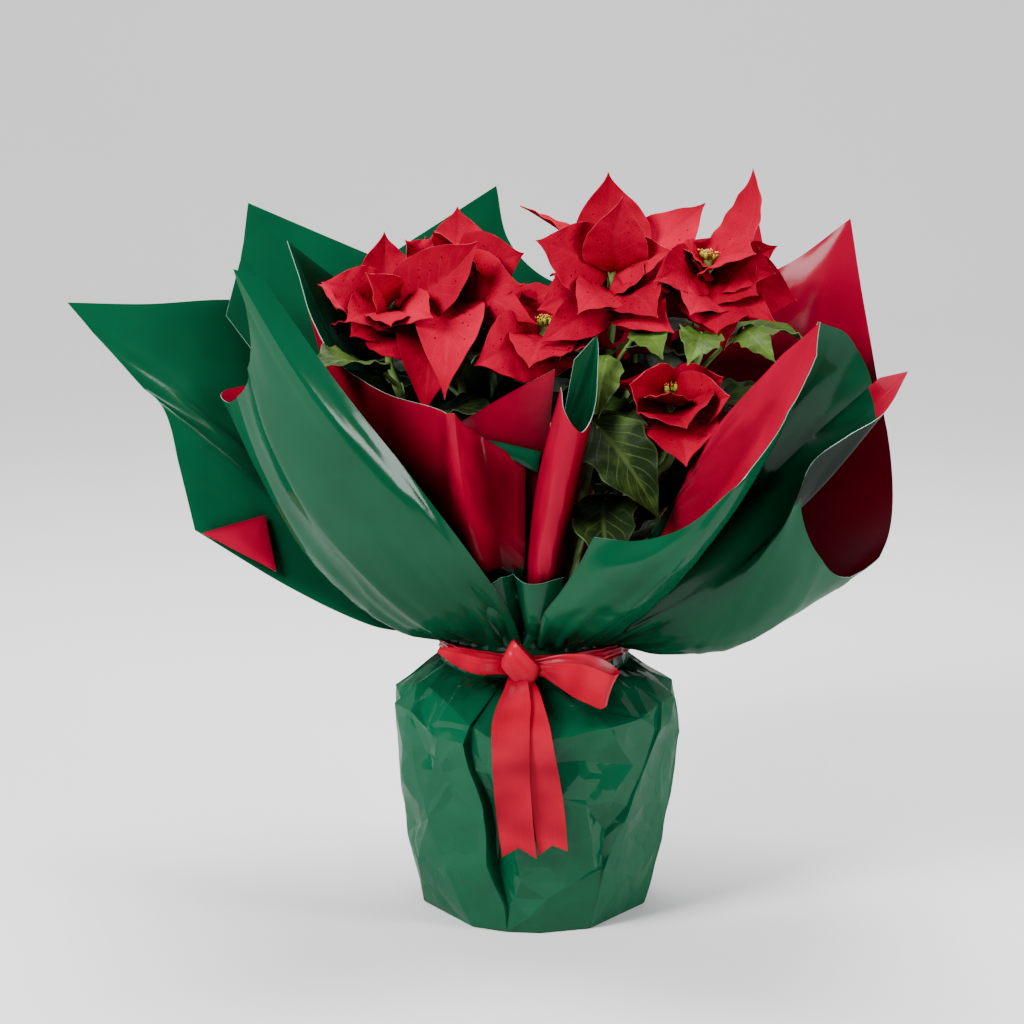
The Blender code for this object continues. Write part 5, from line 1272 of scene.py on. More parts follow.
def store_openness(pieces):
    """Gives every point of the pieces the share of its view that no film, bract or leaf closes, for the
    painted shade in their colour.
    """
    points, triangles, shift = [], [], 0
    for piece in pieces:
        piece.data.calc_loop_triangles()
        points.append(read_all(piece.data.vertices, "co", 3))
        triangles.append(read_all(piece.data.loop_triangles, "vertices", 3, np.int32) + shift)
        shift += len(points[-1])
    tree = BVHTree.FromPolygons(np.concatenate(points).tolist(), np.concatenate(triangles).tolist())
    for piece, places in zip(pieces, points):
        free = free_view(tree, places, read_all(piece.data.vertex_normals, "vector", 3))
        free = evened_out(free, read_all(piece.data.edges, "vertices", 2, np.int32))
        store(piece.data, "open", free * panel_shade(piece.name, places[:, 2]))


def surface_normals(surface, closed=False):
    """Unit normals of a grid of points, along its columns and then across its rows."""
    if closed:
        across = np.roll(surface, -1, axis=0) - np.roll(surface, 1, axis=0)
    else:
        across = np.gradient(surface, axis=0)
    normals = np.cross(np.gradient(surface, axis=1), across)
    return normals / np.maximum(np.linalg.norm(normals, axis=2), 1e-9)[..., None]


def grid_index(rows, steps, closed=True):
    """Numbers of a grid's points, with the first row again after the last where it is closed."""
    index = np.arange(rows * steps).reshape(rows, steps)
    return np.vstack([index, index[:1]]) if closed else index


def grid_faces(index, flip=False):
    """Four-cornered faces between the rows and steps of a grid."""
    corners = [index[:-1, :-1], index[:-1, 1:], index[1:, 1:], index[1:, :-1]]
    if flip:
        corners = corners[:1] + corners[:0:-1]
    return np.stack(corners, axis=-1).reshape(-1, 4)


def two_faced(surface, thickness, closed=False):
    """A thin closed sheet: its points, its faces, and 0, 1 or 2 for outer, inner and rim faces."""
    rows, steps = surface.shape[:2]
    offset = surface_normals(surface, closed) * thickness / 2
    points = np.concatenate([(surface + offset).reshape(-1, 3), (surface - offset).reshape(-1, 3)])
    count = rows * steps
    index = grid_index(rows, steps, closed)
    outer = grid_faces(index)
    faces = outer.tolist() + (outer[:, ::-1] + count).tolist()
    slots = [0] * len(outer) + [1] * len(outer)
    if closed:
        borders = [index[::-1, 0].tolist(), index[:, -1].tolist()]
    else:
        ring = [*index[0, :-1], *index[:-1, -1], *index[-1, :0:-1], *index[:0:-1, 0], index[0, 0]]
        borders = [[int(i) for i in ring]]
    for border in borders:
        for i, j in zip(border, border[1:]):
            faces.append((j, i, i + count, j + count))
            slots.append(2)
    return points, faces, slots


def spans(surface):
    """How far each point of a grid lies across its rows, in millimetres of the surface."""
    steps = np.linalg.norm(np.diff(surface, axis=0), axis=2)
    return np.concatenate([np.zeros((1, surface.shape[1])), np.cumsum(steps, axis=0)])


def radiating_folds(surface, seed, count, height):
    """Folds that start at the neck and die out on the way to the free edge."""
    draws = random.Random(seed)
    across = spans(surface)
    share = np.linspace(0.0, 1.0, surface.shape[1])
    lift = np.zeros(surface.shape[:2])
    for fold in range(count):
        start, drift = draws.uniform(0.03, 0.97), draws.uniform(-0.10, 0.10)
        reach = draws.uniform(0.16, 0.62)
        tall = draws.uniform(0.35, 1.0) * height * draws.choice((-1, 1))
        line = across[-1] * np.clip(start + drift * share, 0.0, 1.0)
        spread = draws.uniform(1.6, 3.4) + 16.0 * share
        crest = np.exp(-np.abs(across - line) / spread * 1.5)
        lift += tall * crest * np.clip(1.0 - share / reach, 0.0, 1.0) ** 1.3
    return lift


def gathers(surface, seed):
    """Close pleats that run out from the tie and open out within a hand's breadth."""
    draws = random.Random(seed)
    across = spans(surface)
    share = np.linspace(0.0, 1.0, surface.shape[1])
    turns = across / np.maximum(across[-1], 1e-6) * across[-1].max() * draws.uniform(0.9, 1.1)
    wave = np.sin(turns * GATHER_PITCH + draws.uniform(0, 6))
    wave = wave + 0.6 * np.sin(turns * GATHER_PITCH * 1.7 + draws.uniform(0, 6))
    fade = np.clip(share / 0.05, 0.0, 1.0) * np.exp(-((share / GATHER_REACH) ** 2))
    return GATHER_DEPTH * wave * fade


def long_folds(surface, seed, count, height):
    """A few long soft creases that cross the panel from the neck to its edge."""
    draws = random.Random(seed)
    across = spans(surface)
    share = np.linspace(0.0, 1.0, surface.shape[1])
    lift = np.zeros(surface.shape[:2])
    for fold in range(count):
        start, end = draws.uniform(0.05, 0.95), draws.uniform(0.05, 0.95)
        start = start * 0.5 + end * 0.5
        line = across[-1] * (start + (end - start) * share)
        away = np.abs(across - line)
        spread = draws.uniform(5.0, 11.0)
        lift += height * draws.uniform(-1.0, 1.0) * np.exp(-away / spread)
    return lift * np.clip(share * 6.0, 0.0, 1.0)


def facets(across, along, seed):
    """Heights of a crumpled surface: flat three-cornered facets that meet in sharp creases.

    The facets are the halves of a warped net's meshes, each split along one of its diagonals.
    """
    draws = np.random.default_rng(seed)
    wide, tall = float(across.max()), float(along.max())
    columns, rows = max(3, round(wide / FACET_SIZE)), max(2, round(tall / (FACET_SIZE * FACET_STRETCH)))
    corners = draws.uniform(-FACET_RISE, FACET_RISE, (columns + 3, rows + 4))
    split = draws.integers(0, 2, (columns + 3, rows + 4))
    turn, rise = across / wide * 2 * math.pi, along / tall * rows
    waves, phases = draws.integers(2, 7, 4), draws.uniform(0, 2 * math.pi, 6)
    x = across / wide * columns
    x = x + 0.38 * np.sin(rise * 2.1 + phases[0]) + 0.22 * np.sin(rise * 4.7 + waves[0] * turn + phases[1])
    y = rise + 1.0 + 0.36 * np.sin(turn * waves[1] * 3 + phases[2])
    y = y + 0.28 * np.sin(turn * waves[2] * 5 + rise + phases[3])
    x = np.clip(x + 0.7, 0.0, columns + 1.9)
    y = np.clip(y, 0.0, rows + 2.9)
    i, j = np.floor(x).astype(int), np.floor(y).astype(int)
    u, v = x - i, y - j
    near, far = corners[i, j], corners[i + 1, j + 1]
    beside, above = corners[i + 1, j], corners[i, j + 1]
    rising = half_mesh(u, v, near, beside, far, above)
    falling = half_mesh(1.0 - u, v, beside, near, above, far)
    return np.where(split[i, j] == 1, rising, falling)


def half_mesh(u, v, near, beside, far, above):
    """Heights in a mesh that is split from its near to its far corner."""
    lower = near + u * (beside - near) + v * (far - beside)
    upper = near + v * (above - near) + u * (far - above)
    return np.where(u > v, lower, upper)


def marked_folds(surface, folds):
    """The folds that are given one by one, each a crisp crest that runs from the neck to the edge."""
    across = spans(surface)
    share = np.linspace(0.0, 1.0, surface.shape[1])
    lift = np.zeros(surface.shape[:2])
    for start, end, height, spread in folds:
        line = across[-1] * (start + (end - start) * share)
        lift += height * np.exp(-np.abs(across - line) / spread)
    return lift * np.clip(share * 5.0, 0.0, 1.0)


def flat_size(surface):
    """The width, length and area of the film that a panel takes, in metres."""
    along = np.linalg.norm(np.diff(surface, axis=1), axis=2).sum(axis=1).max()
    across = spans(surface)[-1].max()
    first, second = surface[1:, :-1] - surface[:-1, :-1], surface[:-1, 1:] - surface[:-1, :-1]
    third, fourth = surface[1:, :-1] - surface[1:, 1:], surface[:-1, 1:] - surface[1:, 1:]
    area = np.linalg.norm(np.cross(first, second), axis=2) + np.linalg.norm(np.cross(third, fourth), axis=2)
    area = area.sum() / 2
    across = min(across, GORE_FILL * area / along)
    return (across * MM, along * MM), area * MM * MM


def build_film_panel(name, ribs, materials):
    surface = panel_surface(ribs, PANEL_CORNERS[name])
    size, area = flat_size(surface)
    share = np.linspace(0.0, 1.0, STEPS_ALONG)
    lift = radiating_folds(surface, f"folds {name}", 6 + len(ribs), 2.2)
    lift += long_folds(surface, f"creases {name}", 2 + len(ribs) // 4, 1.3)
    lift += marked_folds(surface, PANEL_FOLDS.get(name, ()))
    along = np.broadcast_to(share * size[1] / MM, lift.shape)
    seed = sorted(PANELS).index(name)
    lift += facets(spans(surface), along, seed) * np.clip(1.3 - 1.2 * share, 0.15, 1.0)
    lift *= np.clip(share * 12.0, 0.0, 1.0)
    lift += gathers(surface, f"gathers {name}")
    surface = surface + surface_normals(surface) * lift[..., None]
    points, faces, slots = two_faced(surface, SHEET_THICK)
    if name == "inner_left":
        slots = [
            1 - slot if slot < 2 and max(points[index][2] for index in face) < INNER_LAYER else slot
            for slot, face in zip(slots, faces)
        ]
    if name == "right_roll":
        slots = rolled_layers(points, faces, slots)
    green, crimson = materials["green"], materials["crimson"]
    pair = (green, crimson) if GREEN_FACE[name] > 0 else (crimson, green)
    finishes = (*pair, materials["cut"])
    if name == "right_roll":
        finishes += (materials["tipped"], materials["crimson_in_shade"])
    panel = mesh_object("film_" + name, points, faces, finishes, slots)
    finish_sheet(panel)
    return panel


def rolled_layers(points, faces, slots):
    """The slots of the right roll, whose first ribs are a doubled edge that is green on both faces.

    Slot 3 is the film of the tip's upper face, and slot 4 that of the inside, deep in the roll, a copy of the
    crimson film without its gloss as painted shade.
    """
    across, inner = STEPS_ALONG - 1, slots.count(0)
    layers = []
    for step, (slot, face) in enumerate(zip(slots, faces)):
        row = (step - inner * slot) // across
        if slot < 2 and row < DOUBLED_ROWS:
            tip = row < TIP_ROWS and min(points[index][0] for index in face) > TIP_START
            slot = 3 if slot == 1 and tip else 1
        elif slot == 0 and max(points[index][2] for index in face) < MOUTH_TOP:
            slot = 4
        layers.append(slot)
    return layers


def build_flap(name, corners, colour, materials):
    """A folded corner of film that lies on a panel, its face of the given colour to the front."""
    first, second, third, fourth = np.array(corners, float)
    steps = np.linspace(0, 1, FLAP_STEPS)
    u, v = np.meshgrid(steps, steps, indexing="ij")
    u, v = u[..., None], v[..., None]
    surface = first * (1 - u) * (1 - v) + second * u * (1 - v) + third * u * v + fourth * (1 - u) * v
    surface = surface - np.array([0.0, FLAP_BULGE, 0.0]) * np.sin(math.pi * u) * np.sin(math.pi * v)
    points, faces, slots = two_faced(surface, SHEET_THICK)
    other = "green" if colour == "crimson" else "crimson"
    front = surface_normals(surface)[FLAP_STEPS // 2, FLAP_STEPS // 2, 1] < 0
    pair = (materials[colour], materials[other]) if front else (materials[other], materials[colour])
    flap = mesh_object("film_flap_" + name, points, faces, (*pair, materials["cut"]), slots)
    finish_sheet(flap)
    return flap


def finish_sheet(panel):
    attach(panel, "root")
    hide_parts("wrap_film")


def cup_net():
    """Corners of the cup's facets, as (angle, way down, lift), and the creases that join them."""
    corners, creases = [], []
    draws = random.Random(NET_SEED)

    def add_crease(points, drop):
        start = len(corners)
        corners.extend(points)
        creases.extend((start + step, start + step + 1) for step in range(len(points) - 1))
        if drop:
            low = len(corners)
            drops = drop if isinstance(drop, tuple) else [drop] * (len(points) - 2)
            for (angle, down, lift), fall in zip(points[1:-1], drops):
                aside = math.copysign(max(FOLD_LEAST, FOLD_TURN * abs(fall)), fall)
                corners.append((angle + aside, down, lift - abs(fall)))
            chain = [start, *range(low, len(corners)), start + len(points) - 1]
            creases.extend(zip(chain, chain[1:]))

    for points, drop in CUP_CREASES_SEEN:
        add_crease(points, drop)
    lines = [(corners[i], corners[j]) for i, j in creases]
    for pleat in range(360 // PLEAT_TURN + 1):
        ends = pleat in (0, 360 // PLEAT_TURN)
        stand = 0.0 if ends else draws.uniform(0.5, 1.5) * (1 if pleat % 2 else -1)
        column = [(CUP_SEAM + pleat * PLEAT_TURN, down, stand * share) for down, share in PLEAT_ROWS]
        add_crease(column + ([(column[0][0], down, 0.5) for down in SEAM_STOPS] if ends else []), 0)
    for down, spacing, scatter, lift in LOOSE_ROWS:
        for step in range(round(360 * MM_PER_DEGREE / spacing)):
            angle = CUP_SEAM + (step + 0.5) * spacing / MM_PER_DEGREE + draws.uniform(-3, 3)
            corner = (angle, down + draws.uniform(-scatter, scatter), draws.uniform(-lift, lift))
            clear = CUP_SEAM + SEAM_CLEAR < angle < CUP_SEAM + 360 - SEAM_CLEAR
            if clear and way_off(corner, lines) > LOOSE_CLEAR:
                corners.append(corner)
    return corners, creases


def way_off(corner, lines):
    """How far a corner of the net lies from the nearest crease, in millimetres."""
    point = Vector((corner[0] * MM_PER_DEGREE, corner[1], 0.0))
    nearest = 1000.0
    for first, second in lines:
        start = Vector((first[0] * MM_PER_DEGREE, first[1], 0.0))
        end = Vector((second[0] * MM_PER_DEGREE, second[1], 0.0))
        foot, share = geometry.intersect_point_line(point, start, end)
        foot = start.lerp(end, min(1.0, max(0.0, share)))
        nearest = min(nearest, (foot - point).length)
    return nearest


def sleeve(downs):
    """Radius, height and plain normal of the cup's side at each way down it."""
    rows = smooth_path([(height, radius, 0.0) for height, radius in SLEEVE_PROFILE], 600)
    at = np.linspace(0.0, SLEEVE_LENGTH, len(rows))
    heights, radii = np.interp(downs, at, rows[:, 0]), np.interp(downs, at, rows[:, 1])
    fall, flare = np.gradient(rows[:, 0]), np.gradient(rows[:, 1])
    out, up = -np.interp(downs, at, fall), np.interp(downs, at, flare)
    size = np.hypot(out, up)
    return radii, heights, out / size, up / size


def cup_shell():
    """The cup's side as a fine net: its facets stay flat and its creases crisp."""
    corners, creases = cup_net()
    flat = [Vector((angle * MM_PER_DEGREE, down)) for angle, down, lift in corners]
    spots, _, triangles, sources, _, _ = geometry.delaunay_2d_cdt(flat, creases, [], 0, 0.05)
    lifts = FACET_LIFT * np.array([corners[source[0]][2] if source else 0.0 for source in sources])
    turns = np.radians([spot[0] / MM_PER_DEGREE for spot in spots])
    downs = np.array([spot[1] for spot in spots])
    radii, heights, out, up = sleeve(downs)
    radii, heights = radii + lifts * out, heights + lifts * up
    net = bmesh.new()
    way = net.verts.layers.float.new("way down")
    for turn, down, radius, height in zip(turns, downs, radii, heights):
        vertex = net.verts.new((radius * math.cos(turn), radius * math.sin(turn), height))
        vertex[way] = down
    net.verts.ensure_lookup_table()
    for triangle in triangles:
        net.faces.new([net.verts[index] for index in reversed(triangle)])
    bmesh.ops.remove_doubles(net, verts=net.verts, dist=0.01)
    for halving in range(6):
        long = [edge for edge in net.edges if edge.calc_length() > CUP_MESH]
        bmesh.ops.subdivide_edges(net, edges=long, cuts=1, use_grid_fill=True)
        bmesh.ops.triangulate(net, faces=net.faces[:])
    noise_at.seed_set(NET_SEED)
    for vertex in net.verts:
        vertex.co += crumple(vertex.co, vertex[way])
    return net, way


def crumple(place, down):
    """A faint wander of the creases and a slight dishing of the facets, none at the base's edge."""
    fade = min(1.0, (SLEEVE_LENGTH - down) / 12.0) * min(1.0, down / 40.0)
    wide, small = [noise_at.noise_vector(place * scale) * reach for scale, reach in WANDERS]
    return (wide + small) * fade


def build_cup_film(materials):
    net, way = cup_shell()
    downs = np.array([vertex[way] for vertex in net.verts])
    side = np.array([vertex.co[:] for vertex in net.verts])
    net.verts.index_update()
    faces = [tuple(vertex.index for vertex in face.verts) for face in net.faces]
    rims = [edge for edge in net.edges if edge.is_boundary]
    ring = {True: [], False: []}
    for edge in rims:
        loop = edge.link_loops[0]
        ring[loop.vert.co.z > 90.0].append((loop.vert.index, loop.link_loop_next.vert.index))
    area = sum(face.calc_area() for face in net.faces) + math.pi * SLEEVE_PROFILE[-1][1] ** 2
    net.free()
    radii, heights, out, up = sleeve(downs)
    turns = np.arctan2(side[:, 1], side[:, 0])
    normals = np.stack([out * np.cos(turns), out * np.sin(turns), up], axis=-1)
    count = len(side)
    points = np.concatenate([side, side - normals * SHEET_THICK])
    slots = [0] * len(faces) + [1] * len(faces)
    faces += [tuple(index + count for index in reversed(face)) for face in faces]
    for start, end in ring[True]:
        faces.append((end, start, start + count, end + count))
        slots.append(2)
    points, caps = base_caps(points, ring[False], count)
    faces += caps
    slots += [0] * (len(caps) - 1) + [1]
    finishes = (materials["crinkled"], materials["crimson"], materials["cut"])
    cup = mesh_object("film_cup", points, faces, finishes, slots, crease=13)
    finish_sheet(cup)
    return cup


def base_caps(points, ring, count):
    """The flat underside: its rounded edge, and its lower and upper faces, the upper one last."""
    after = dict(ring)
    start = next(iter(after))
    chain = [start]
    while after[chain[-1]] != start:
        chain.append(after[chain[-1]])
    low = points[chain] * (BASE_SHARE, BASE_SHARE, 0.0) + (0.0, 0.0, BASE_LIFT)
    first = len(points)
    points = np.concatenate([points, low])
    lower = list(range(first, first + len(chain)))
    caps = []
    for step, index in enumerate(chain):
        beside = (step + 1) % len(chain)
        caps.append((chain[beside], index, lower[step], lower[beside]))
    caps.append(tuple(lower))
    caps.append(tuple(index + count for index in reversed(chain)))
    return points, caps


def ribbon_surface(stations, sides, pleats, notch, seed):
    """A loose stretch of ribbon as a fine grid, cupped across and pleated where it is tied."""
    path = smooth_path(stations, STRIP_FINE_STEPS)
    path, widths = path[:, :3], path[:, 3]
    along = np.linspace(0, len(sides) - 1, STRIP_FINE_STEPS)
    wide = smooth_path([(*side, 8.0 * step) for step, side in enumerate(sides)], 400)
    wide = np.stack([np.interp(along, wide[:, 3] / 8.0, wide[:, axis]) for axis in range(3)], axis=1)
    wide /= np.linalg.norm(wide, axis=1)[:, None]
    ahead = np.gradient(path, axis=0)
    ahead /= np.linalg.norm(ahead, axis=1)[:, None]
    out = np.cross(wide, ahead)
    out /= np.maximum(np.linalg.norm(out, axis=1), 1e-6)[:, None]
    reach = np.linspace(-1.0, 1.0, STRIP_COLUMNS)
    share = np.linspace(0.0, 1.0, STRIP_FINE_STEPS)
    phase = random.Random(seed).uniform(0, 6)
    grid = path[None] + reach[:, None, None] * wide[None] * (widths / 2)[None, :, None]
    bow = 0.05 * widths * np.sin(share * 5.0 + phase)
    rise = bow[None, :] * (1.0 - reach[:, None] ** 2)
    rise = rise + 0.25 * reach[:, None] * np.sin(share[None, :] * 13.0 + phase)
    tied = np.exp(-share * STRIP_TIED) + (0.0 if notch else np.exp(-(1 - share) * STRIP_TIED))
    rise = rise + pleats * np.cos(reach[:, None] * 7.0 + 0.8) * tied[None, :]
    grid = grid + out[None] * rise[..., None]
    if notch:
        last = np.clip((share - 0.9) / 0.1, 0.0, 1.0)
        grid -= ahead[None] * (notch * (1.0 - np.abs(reach))[:, None] * last[None, :])[..., None]
    length = np.linalg.norm(np.diff(path, axis=0), axis=1).sum()
    widest = widths.max()
    places = np.stack(np.broadcast_arrays(reach[:, None] * widest / 2, share[None, :] * length), axis=-1)
    return grid, places * MM, widths.mean(), length


def build_ribbon_strip(name, strip, materials):
    grid, places, width, length = ribbon_surface(*strip, name)
    solid, faces, slots = two_faced(grid, SATIN_THICK)
    places = np.concatenate([places.reshape(-1, 2)] * 2)
    piece = mesh_object("ribbon_" + name, solid, faces, (materials["satin"],), places=places)
    finish_satin(piece)
    return piece


def finish_satin(piece):
    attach(piece, "root")
    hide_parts("ribbon")


def build_ribbon_band(materials):
    """The ribbon round the neck, drawn tight and creased along its length."""
    turns = np.linspace(0.0, 2 * math.pi, 300, endpoint=False)
    levels = np.linspace(0.0, 1.0, 25)
    angle, level = np.meshgrid(turns, levels, indexing="ij")
    height = BAND_MIDDLE + BAND_RAISE + BAND_BUNCH * (level - 0.5)
    creases = 0.30 * np.cos(level * 19.0 + 1.3 * np.sin(angle * 3.0))
    creases = creases + 0.25 * np.cos(level * 11.0 + angle * 2.0)
    ripple = 0.35 * np.sin(angle * 23.0 + level * 2.0) + 0.25 * np.sin(angle * 37.0)
    radius = BAND_RADIUS - 0.6 + creases + ripple
    sag = 0.4 * np.sin(angle * 5.0) * (2 * level - 1)
    grid = np.stack([radius * np.cos(angle), radius * np.sin(angle), height + sag], axis=-1)
    solid, faces, slots = two_faced(grid[:, ::-1], SATIN_THICK, closed=True)
    around = 2 * math.pi * BAND_RADIUS
    places = np.stack([level[:, ::-1] * BAND_HEIGHT, angle[:, ::-1] / (2 * math.pi) * around], axis=-1) * MM
    places = np.concatenate([places.reshape(-1, 2)] * 2)
    band = mesh_object("ribbon_band", solid, faces, (materials["satin"],), places=places)
    finish_satin(band)
    return band


def build_knot(materials):
    """The knot: ribbon wrapped slantwise over the crossing, flat in front and creased along its run."""
    turns = np.linspace(0.0, 2 * math.pi, 110, endpoint=False)
    levels = np.linspace(-1.0, 1.0, 25)
    angle, level = np.meshgrid(turns, levels, indexing="ij")
    wide, deep, tall = (size / 2 for size in KNOT_SEEN)
    draw = 1.0 - 0.10 * np.abs(level) ** 4.0
    creases = 0.30 * np.cos(level * 5.5 + 0.8) + 0.10 * np.cos(level * 12.0 + 1.4 * np.sin(angle))
    ring_y = np.sign(np.sin(angle)) * np.abs(np.sin(angle)) ** 0.75 * (deep * draw + creases)
    ring_z = np.sign(np.cos(angle)) * np.abs(np.cos(angle)) ** 0.62 * tall * draw
    ring_z = ring_z + KNOT_SLANT * level
    local = np.stack([level * wide, ring_y, ring_z], axis=-1)
    lean = math.radians(KNOT_TURN)
    turn = np.array([[math.cos(lean), 0, math.sin(lean)], [0, 1, 0], [-math.sin(lean), 0, math.cos(lean)]])
    grid = local @ turn.T + np.array(KNOT_MIDDLE)
    index = grid_index(*grid.shape[:2])
    faces = grid_faces(index, flip=True).tolist()
    faces += [index[:-1, -1].tolist(), index[:-1, 0][::-1].tolist()]
    around = angle / (2 * math.pi) * 4.0 * tall
    places = np.stack([level * wide, around], axis=-1).reshape(-1, 2) * MM
    knot = mesh_object("ribbon_knot", grid.reshape(-1, 3), faces, (materials["satin"],), places=places)
    shell = bmesh.new()
    shell.from_mesh(knot.data)
    bmesh.ops.recalc_face_normals(shell, faces=shell.faces[:])
    shell.to_mesh(knot.data)
    shell.free()
    finish_satin(knot)
    return knot


def outline_at(outline, shares):
    rows = smooth_path([(share, half, 0.0) for share, half in outline], 400)
    return np.interp(shares, rows[:, 0], np.maximum(rows[:, 1], 0.0))


def turned_to_front(ahead, side, normal, facing):
    """A blade's side and normal, turned about its length so that its upper face looks to the front."""
    wanted = normal + np.array([0.0, -facing, 0.0])
    wanted = wanted - ahead * np.dot(wanted, ahead)
    wanted = wanted / np.linalg.norm(wanted)
    along_normal, along_side = np.dot(wanted, normal), np.dot(wanted, side)
    return side * along_normal - normal * along_side, wanted


def fine_blade(blade, outline, veins, seed, ripple, wider, facing):
    """A blade as a fine grid that keeps the plain blade's form, with veins, quilting and a waved edge."""
    chord = np.subtract(blade.tip, blade.base)
    length = np.linalg.norm(chord)
    side, normal = blade_axes(blade)[1:]
    if facing:
        side, normal = turned_to_front(chord / length, side, normal, facing)
    share = np.linspace(0.0, 1.0, FINE_ROWS)
    share = share * 0.35 + 0.65 * (share * share * (3 - 2 * share))
    reach = np.linspace(-1.0, 1.0, FINE_COLUMNS)
    half = outline_at(outline, share)
    half[-1] = 0.004
    draws = random.Random(seed)
    phase, turn = draws.uniform(0, 6), draws.uniform(-0.06, 0.06)
    rise = 4 * share * (1 - share) * blade.arch * length
    lift = blade.fold * length * half[None] * np.abs(reach[:, None]) ** 1.25
    wave = -blade.sway * np.sin(share * 9.0)[None] * reach[:, None]
    out = np.abs(reach)[:, None]
    count, sweep = veins
    climb = share[None] * count - out * sweep
    quilt = 0.42 * np.cos(2 * math.pi * climb) * np.sin(math.pi * np.clip(out, 0, 1)) * -1.0
    groove = -0.55 * np.exp(-((out / 0.10) ** 2))
    edge = ripple * out**3 * np.sin(share[None] * 31.0 + phase + reach[:, None] * 1.5)
    taper = np.clip(half * 2.2, 0.0, 1.0)[None]
    rises = rise[None] + lift + wave + (quilt + groove + edge) * taper
    bend = turn * length * np.sin(math.pi * share)[None]
    spread = side * (reach[:, None] * half[None] * wider * blade.width / 2 + bend)[..., None]
    grid = blade.base + chord * share[None, :, None] + spread + normal * rises[..., None]
    places = np.stack(np.broadcast_arrays(reach[:, None] * 0.5 + 0.5, share[None, :]), axis=-1)
    return grid[::-1], places[::-1]


def joined(parts):
    """Several closed shells as one list of points, faces, slots, places and tones."""
    points, faces, slots, places, tones, shift = [], [], [], [], [], 0
    for part_points, part_faces, part_slots, part_places, tone in parts:
        points.append(part_points)
        faces += [tuple(i + shift for i in face) for face in part_faces]
        slots += list(part_slots)
        places.append(part_places)
        tones.append(np.full(len(part_points), tone))
        shift += len(part_points)
    return np.concatenate(points), faces, slots, np.concatenate(places), np.concatenate(tones)


def blade_part(blade, outline, veins, seed, ripple, wider, tone, facing=0.0):
    grid, places = fine_blade(blade, outline, veins, seed, ripple, wider, facing)
    points, faces, slots = two_faced(grid, SEEN_THICK)
    return points, faces, slots, np.concatenate([places.reshape(-1, 2)] * 2), tone


def build_seen_bloom(name, bracts, materials):
    draws = random.Random(f"bract tones {name}")
    parts = []
    for step, bract in enumerate(bracts):
        tone = draws.uniform(0.1, 0.9)
        facing = draws.uniform(*FACING) if bract.tip[1] < bract.base[1] else 0.0
        shape = (FINE_BRACT, BRACT_VEINS, f"{name} {step}", BRACT_RIPPLE, BRACT_WIDER, tone, facing)
        parts.append(blade_part(bract, *shape))
    finishes = (materials["bract"], materials["bract_back"], materials["bract_cut"])
    points, faces, slots, places, tones = joined(parts)
    bloom = mesh_object("bracts_" + name, points, faces, finishes, slots, places, tones)
    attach(bloom, "root")
    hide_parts("bloom_" + name)
    return bloom


def build_seen_leaves(name, leaves, materials):
    draws = random.Random(f"leaf tones {name}")
    parts = []
    for step, (joint, blade) in enumerate(leaves):
        # Painted shade: the lower a leaf's base, the darker its tone, with some random spread
        height = (blade.base[2] - LEAF_SHADE_BELOW) / LEAF_SHADE_RISE
        tone = min(1.0, max(0.0, height + draws.uniform(-0.2, 0.2)))
        shape = (FINE_LEAF, LEAF_VEINS, f"leaf {name} {step}", LEAF_RIPPLE, 1.0, tone)
        parts.append(blade_part(blade, *shape))
    finishes = (materials["leaf"], materials["leaf_back"], materials["leaf_back"])
    points, faces, slots, places, tones = joined(parts)
    piece = mesh_object("leaves_" + name, points, faces, finishes, slots, places, tones)
    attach(piece, "root")
    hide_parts("leafy_stem_" + name)
    return piece


def evaluated(obj):
    """A plain object with the modifiers' result, in place of the one that had them."""
    bpy.context.view_layer.update()
    graph = bpy.context.evaluated_depsgraph_get()
    mesh = bpy.data.meshes.new_from_object(obj.evaluated_get(graph))
    name = obj.name
    bpy.data.objects.remove(obj, do_unlink=True)
    return new_object(name, mesh)


def new_rule(name, sockets):
    """A Geometry Nodes tree with a geometry input, the named inputs and a geometry output."""
    tree = bpy.data.node_groups.new(name, "GeometryNodeTree")
    tree.interface.new_socket("Geometry", in_out="INPUT", socket_type="NodeSocketGeometry")
    tree.interface.new_socket("Geometry", in_out="OUTPUT", socket_type="NodeSocketGeometry")
    for title, kind in sockets:
        tree.interface.new_socket(title, in_out="INPUT", socket_type=kind)
    return tree, tree.nodes.new("NodeGroupInput")


def close_rule(tree, shape, material):
    """Ends the tree: instances made real, smooth faces, and the material set."""
    real = make(tree, "GeometryNodeRealizeInstances", {0: shape})
    smooth = make(tree, "GeometryNodeSetShadeSmooth", {"Geometry": real})
    painted = make(tree, "GeometryNodeSetMaterial", {"Geometry": smooth, "Material": material})
    tree.links.new(painted, tree.nodes.new("NodeGroupOutput").inputs[0])


def run_rule(obj, tree, values):
    modifier = obj.modifiers.new(tree.name, "NODES")
    modifier.node_group = tree
    for item in tree.interface.items_tree:
        if item.in_out == "INPUT" and item.name in values:
            modifier[item.identifier] = values[item.name]
    return evaluated(obj)


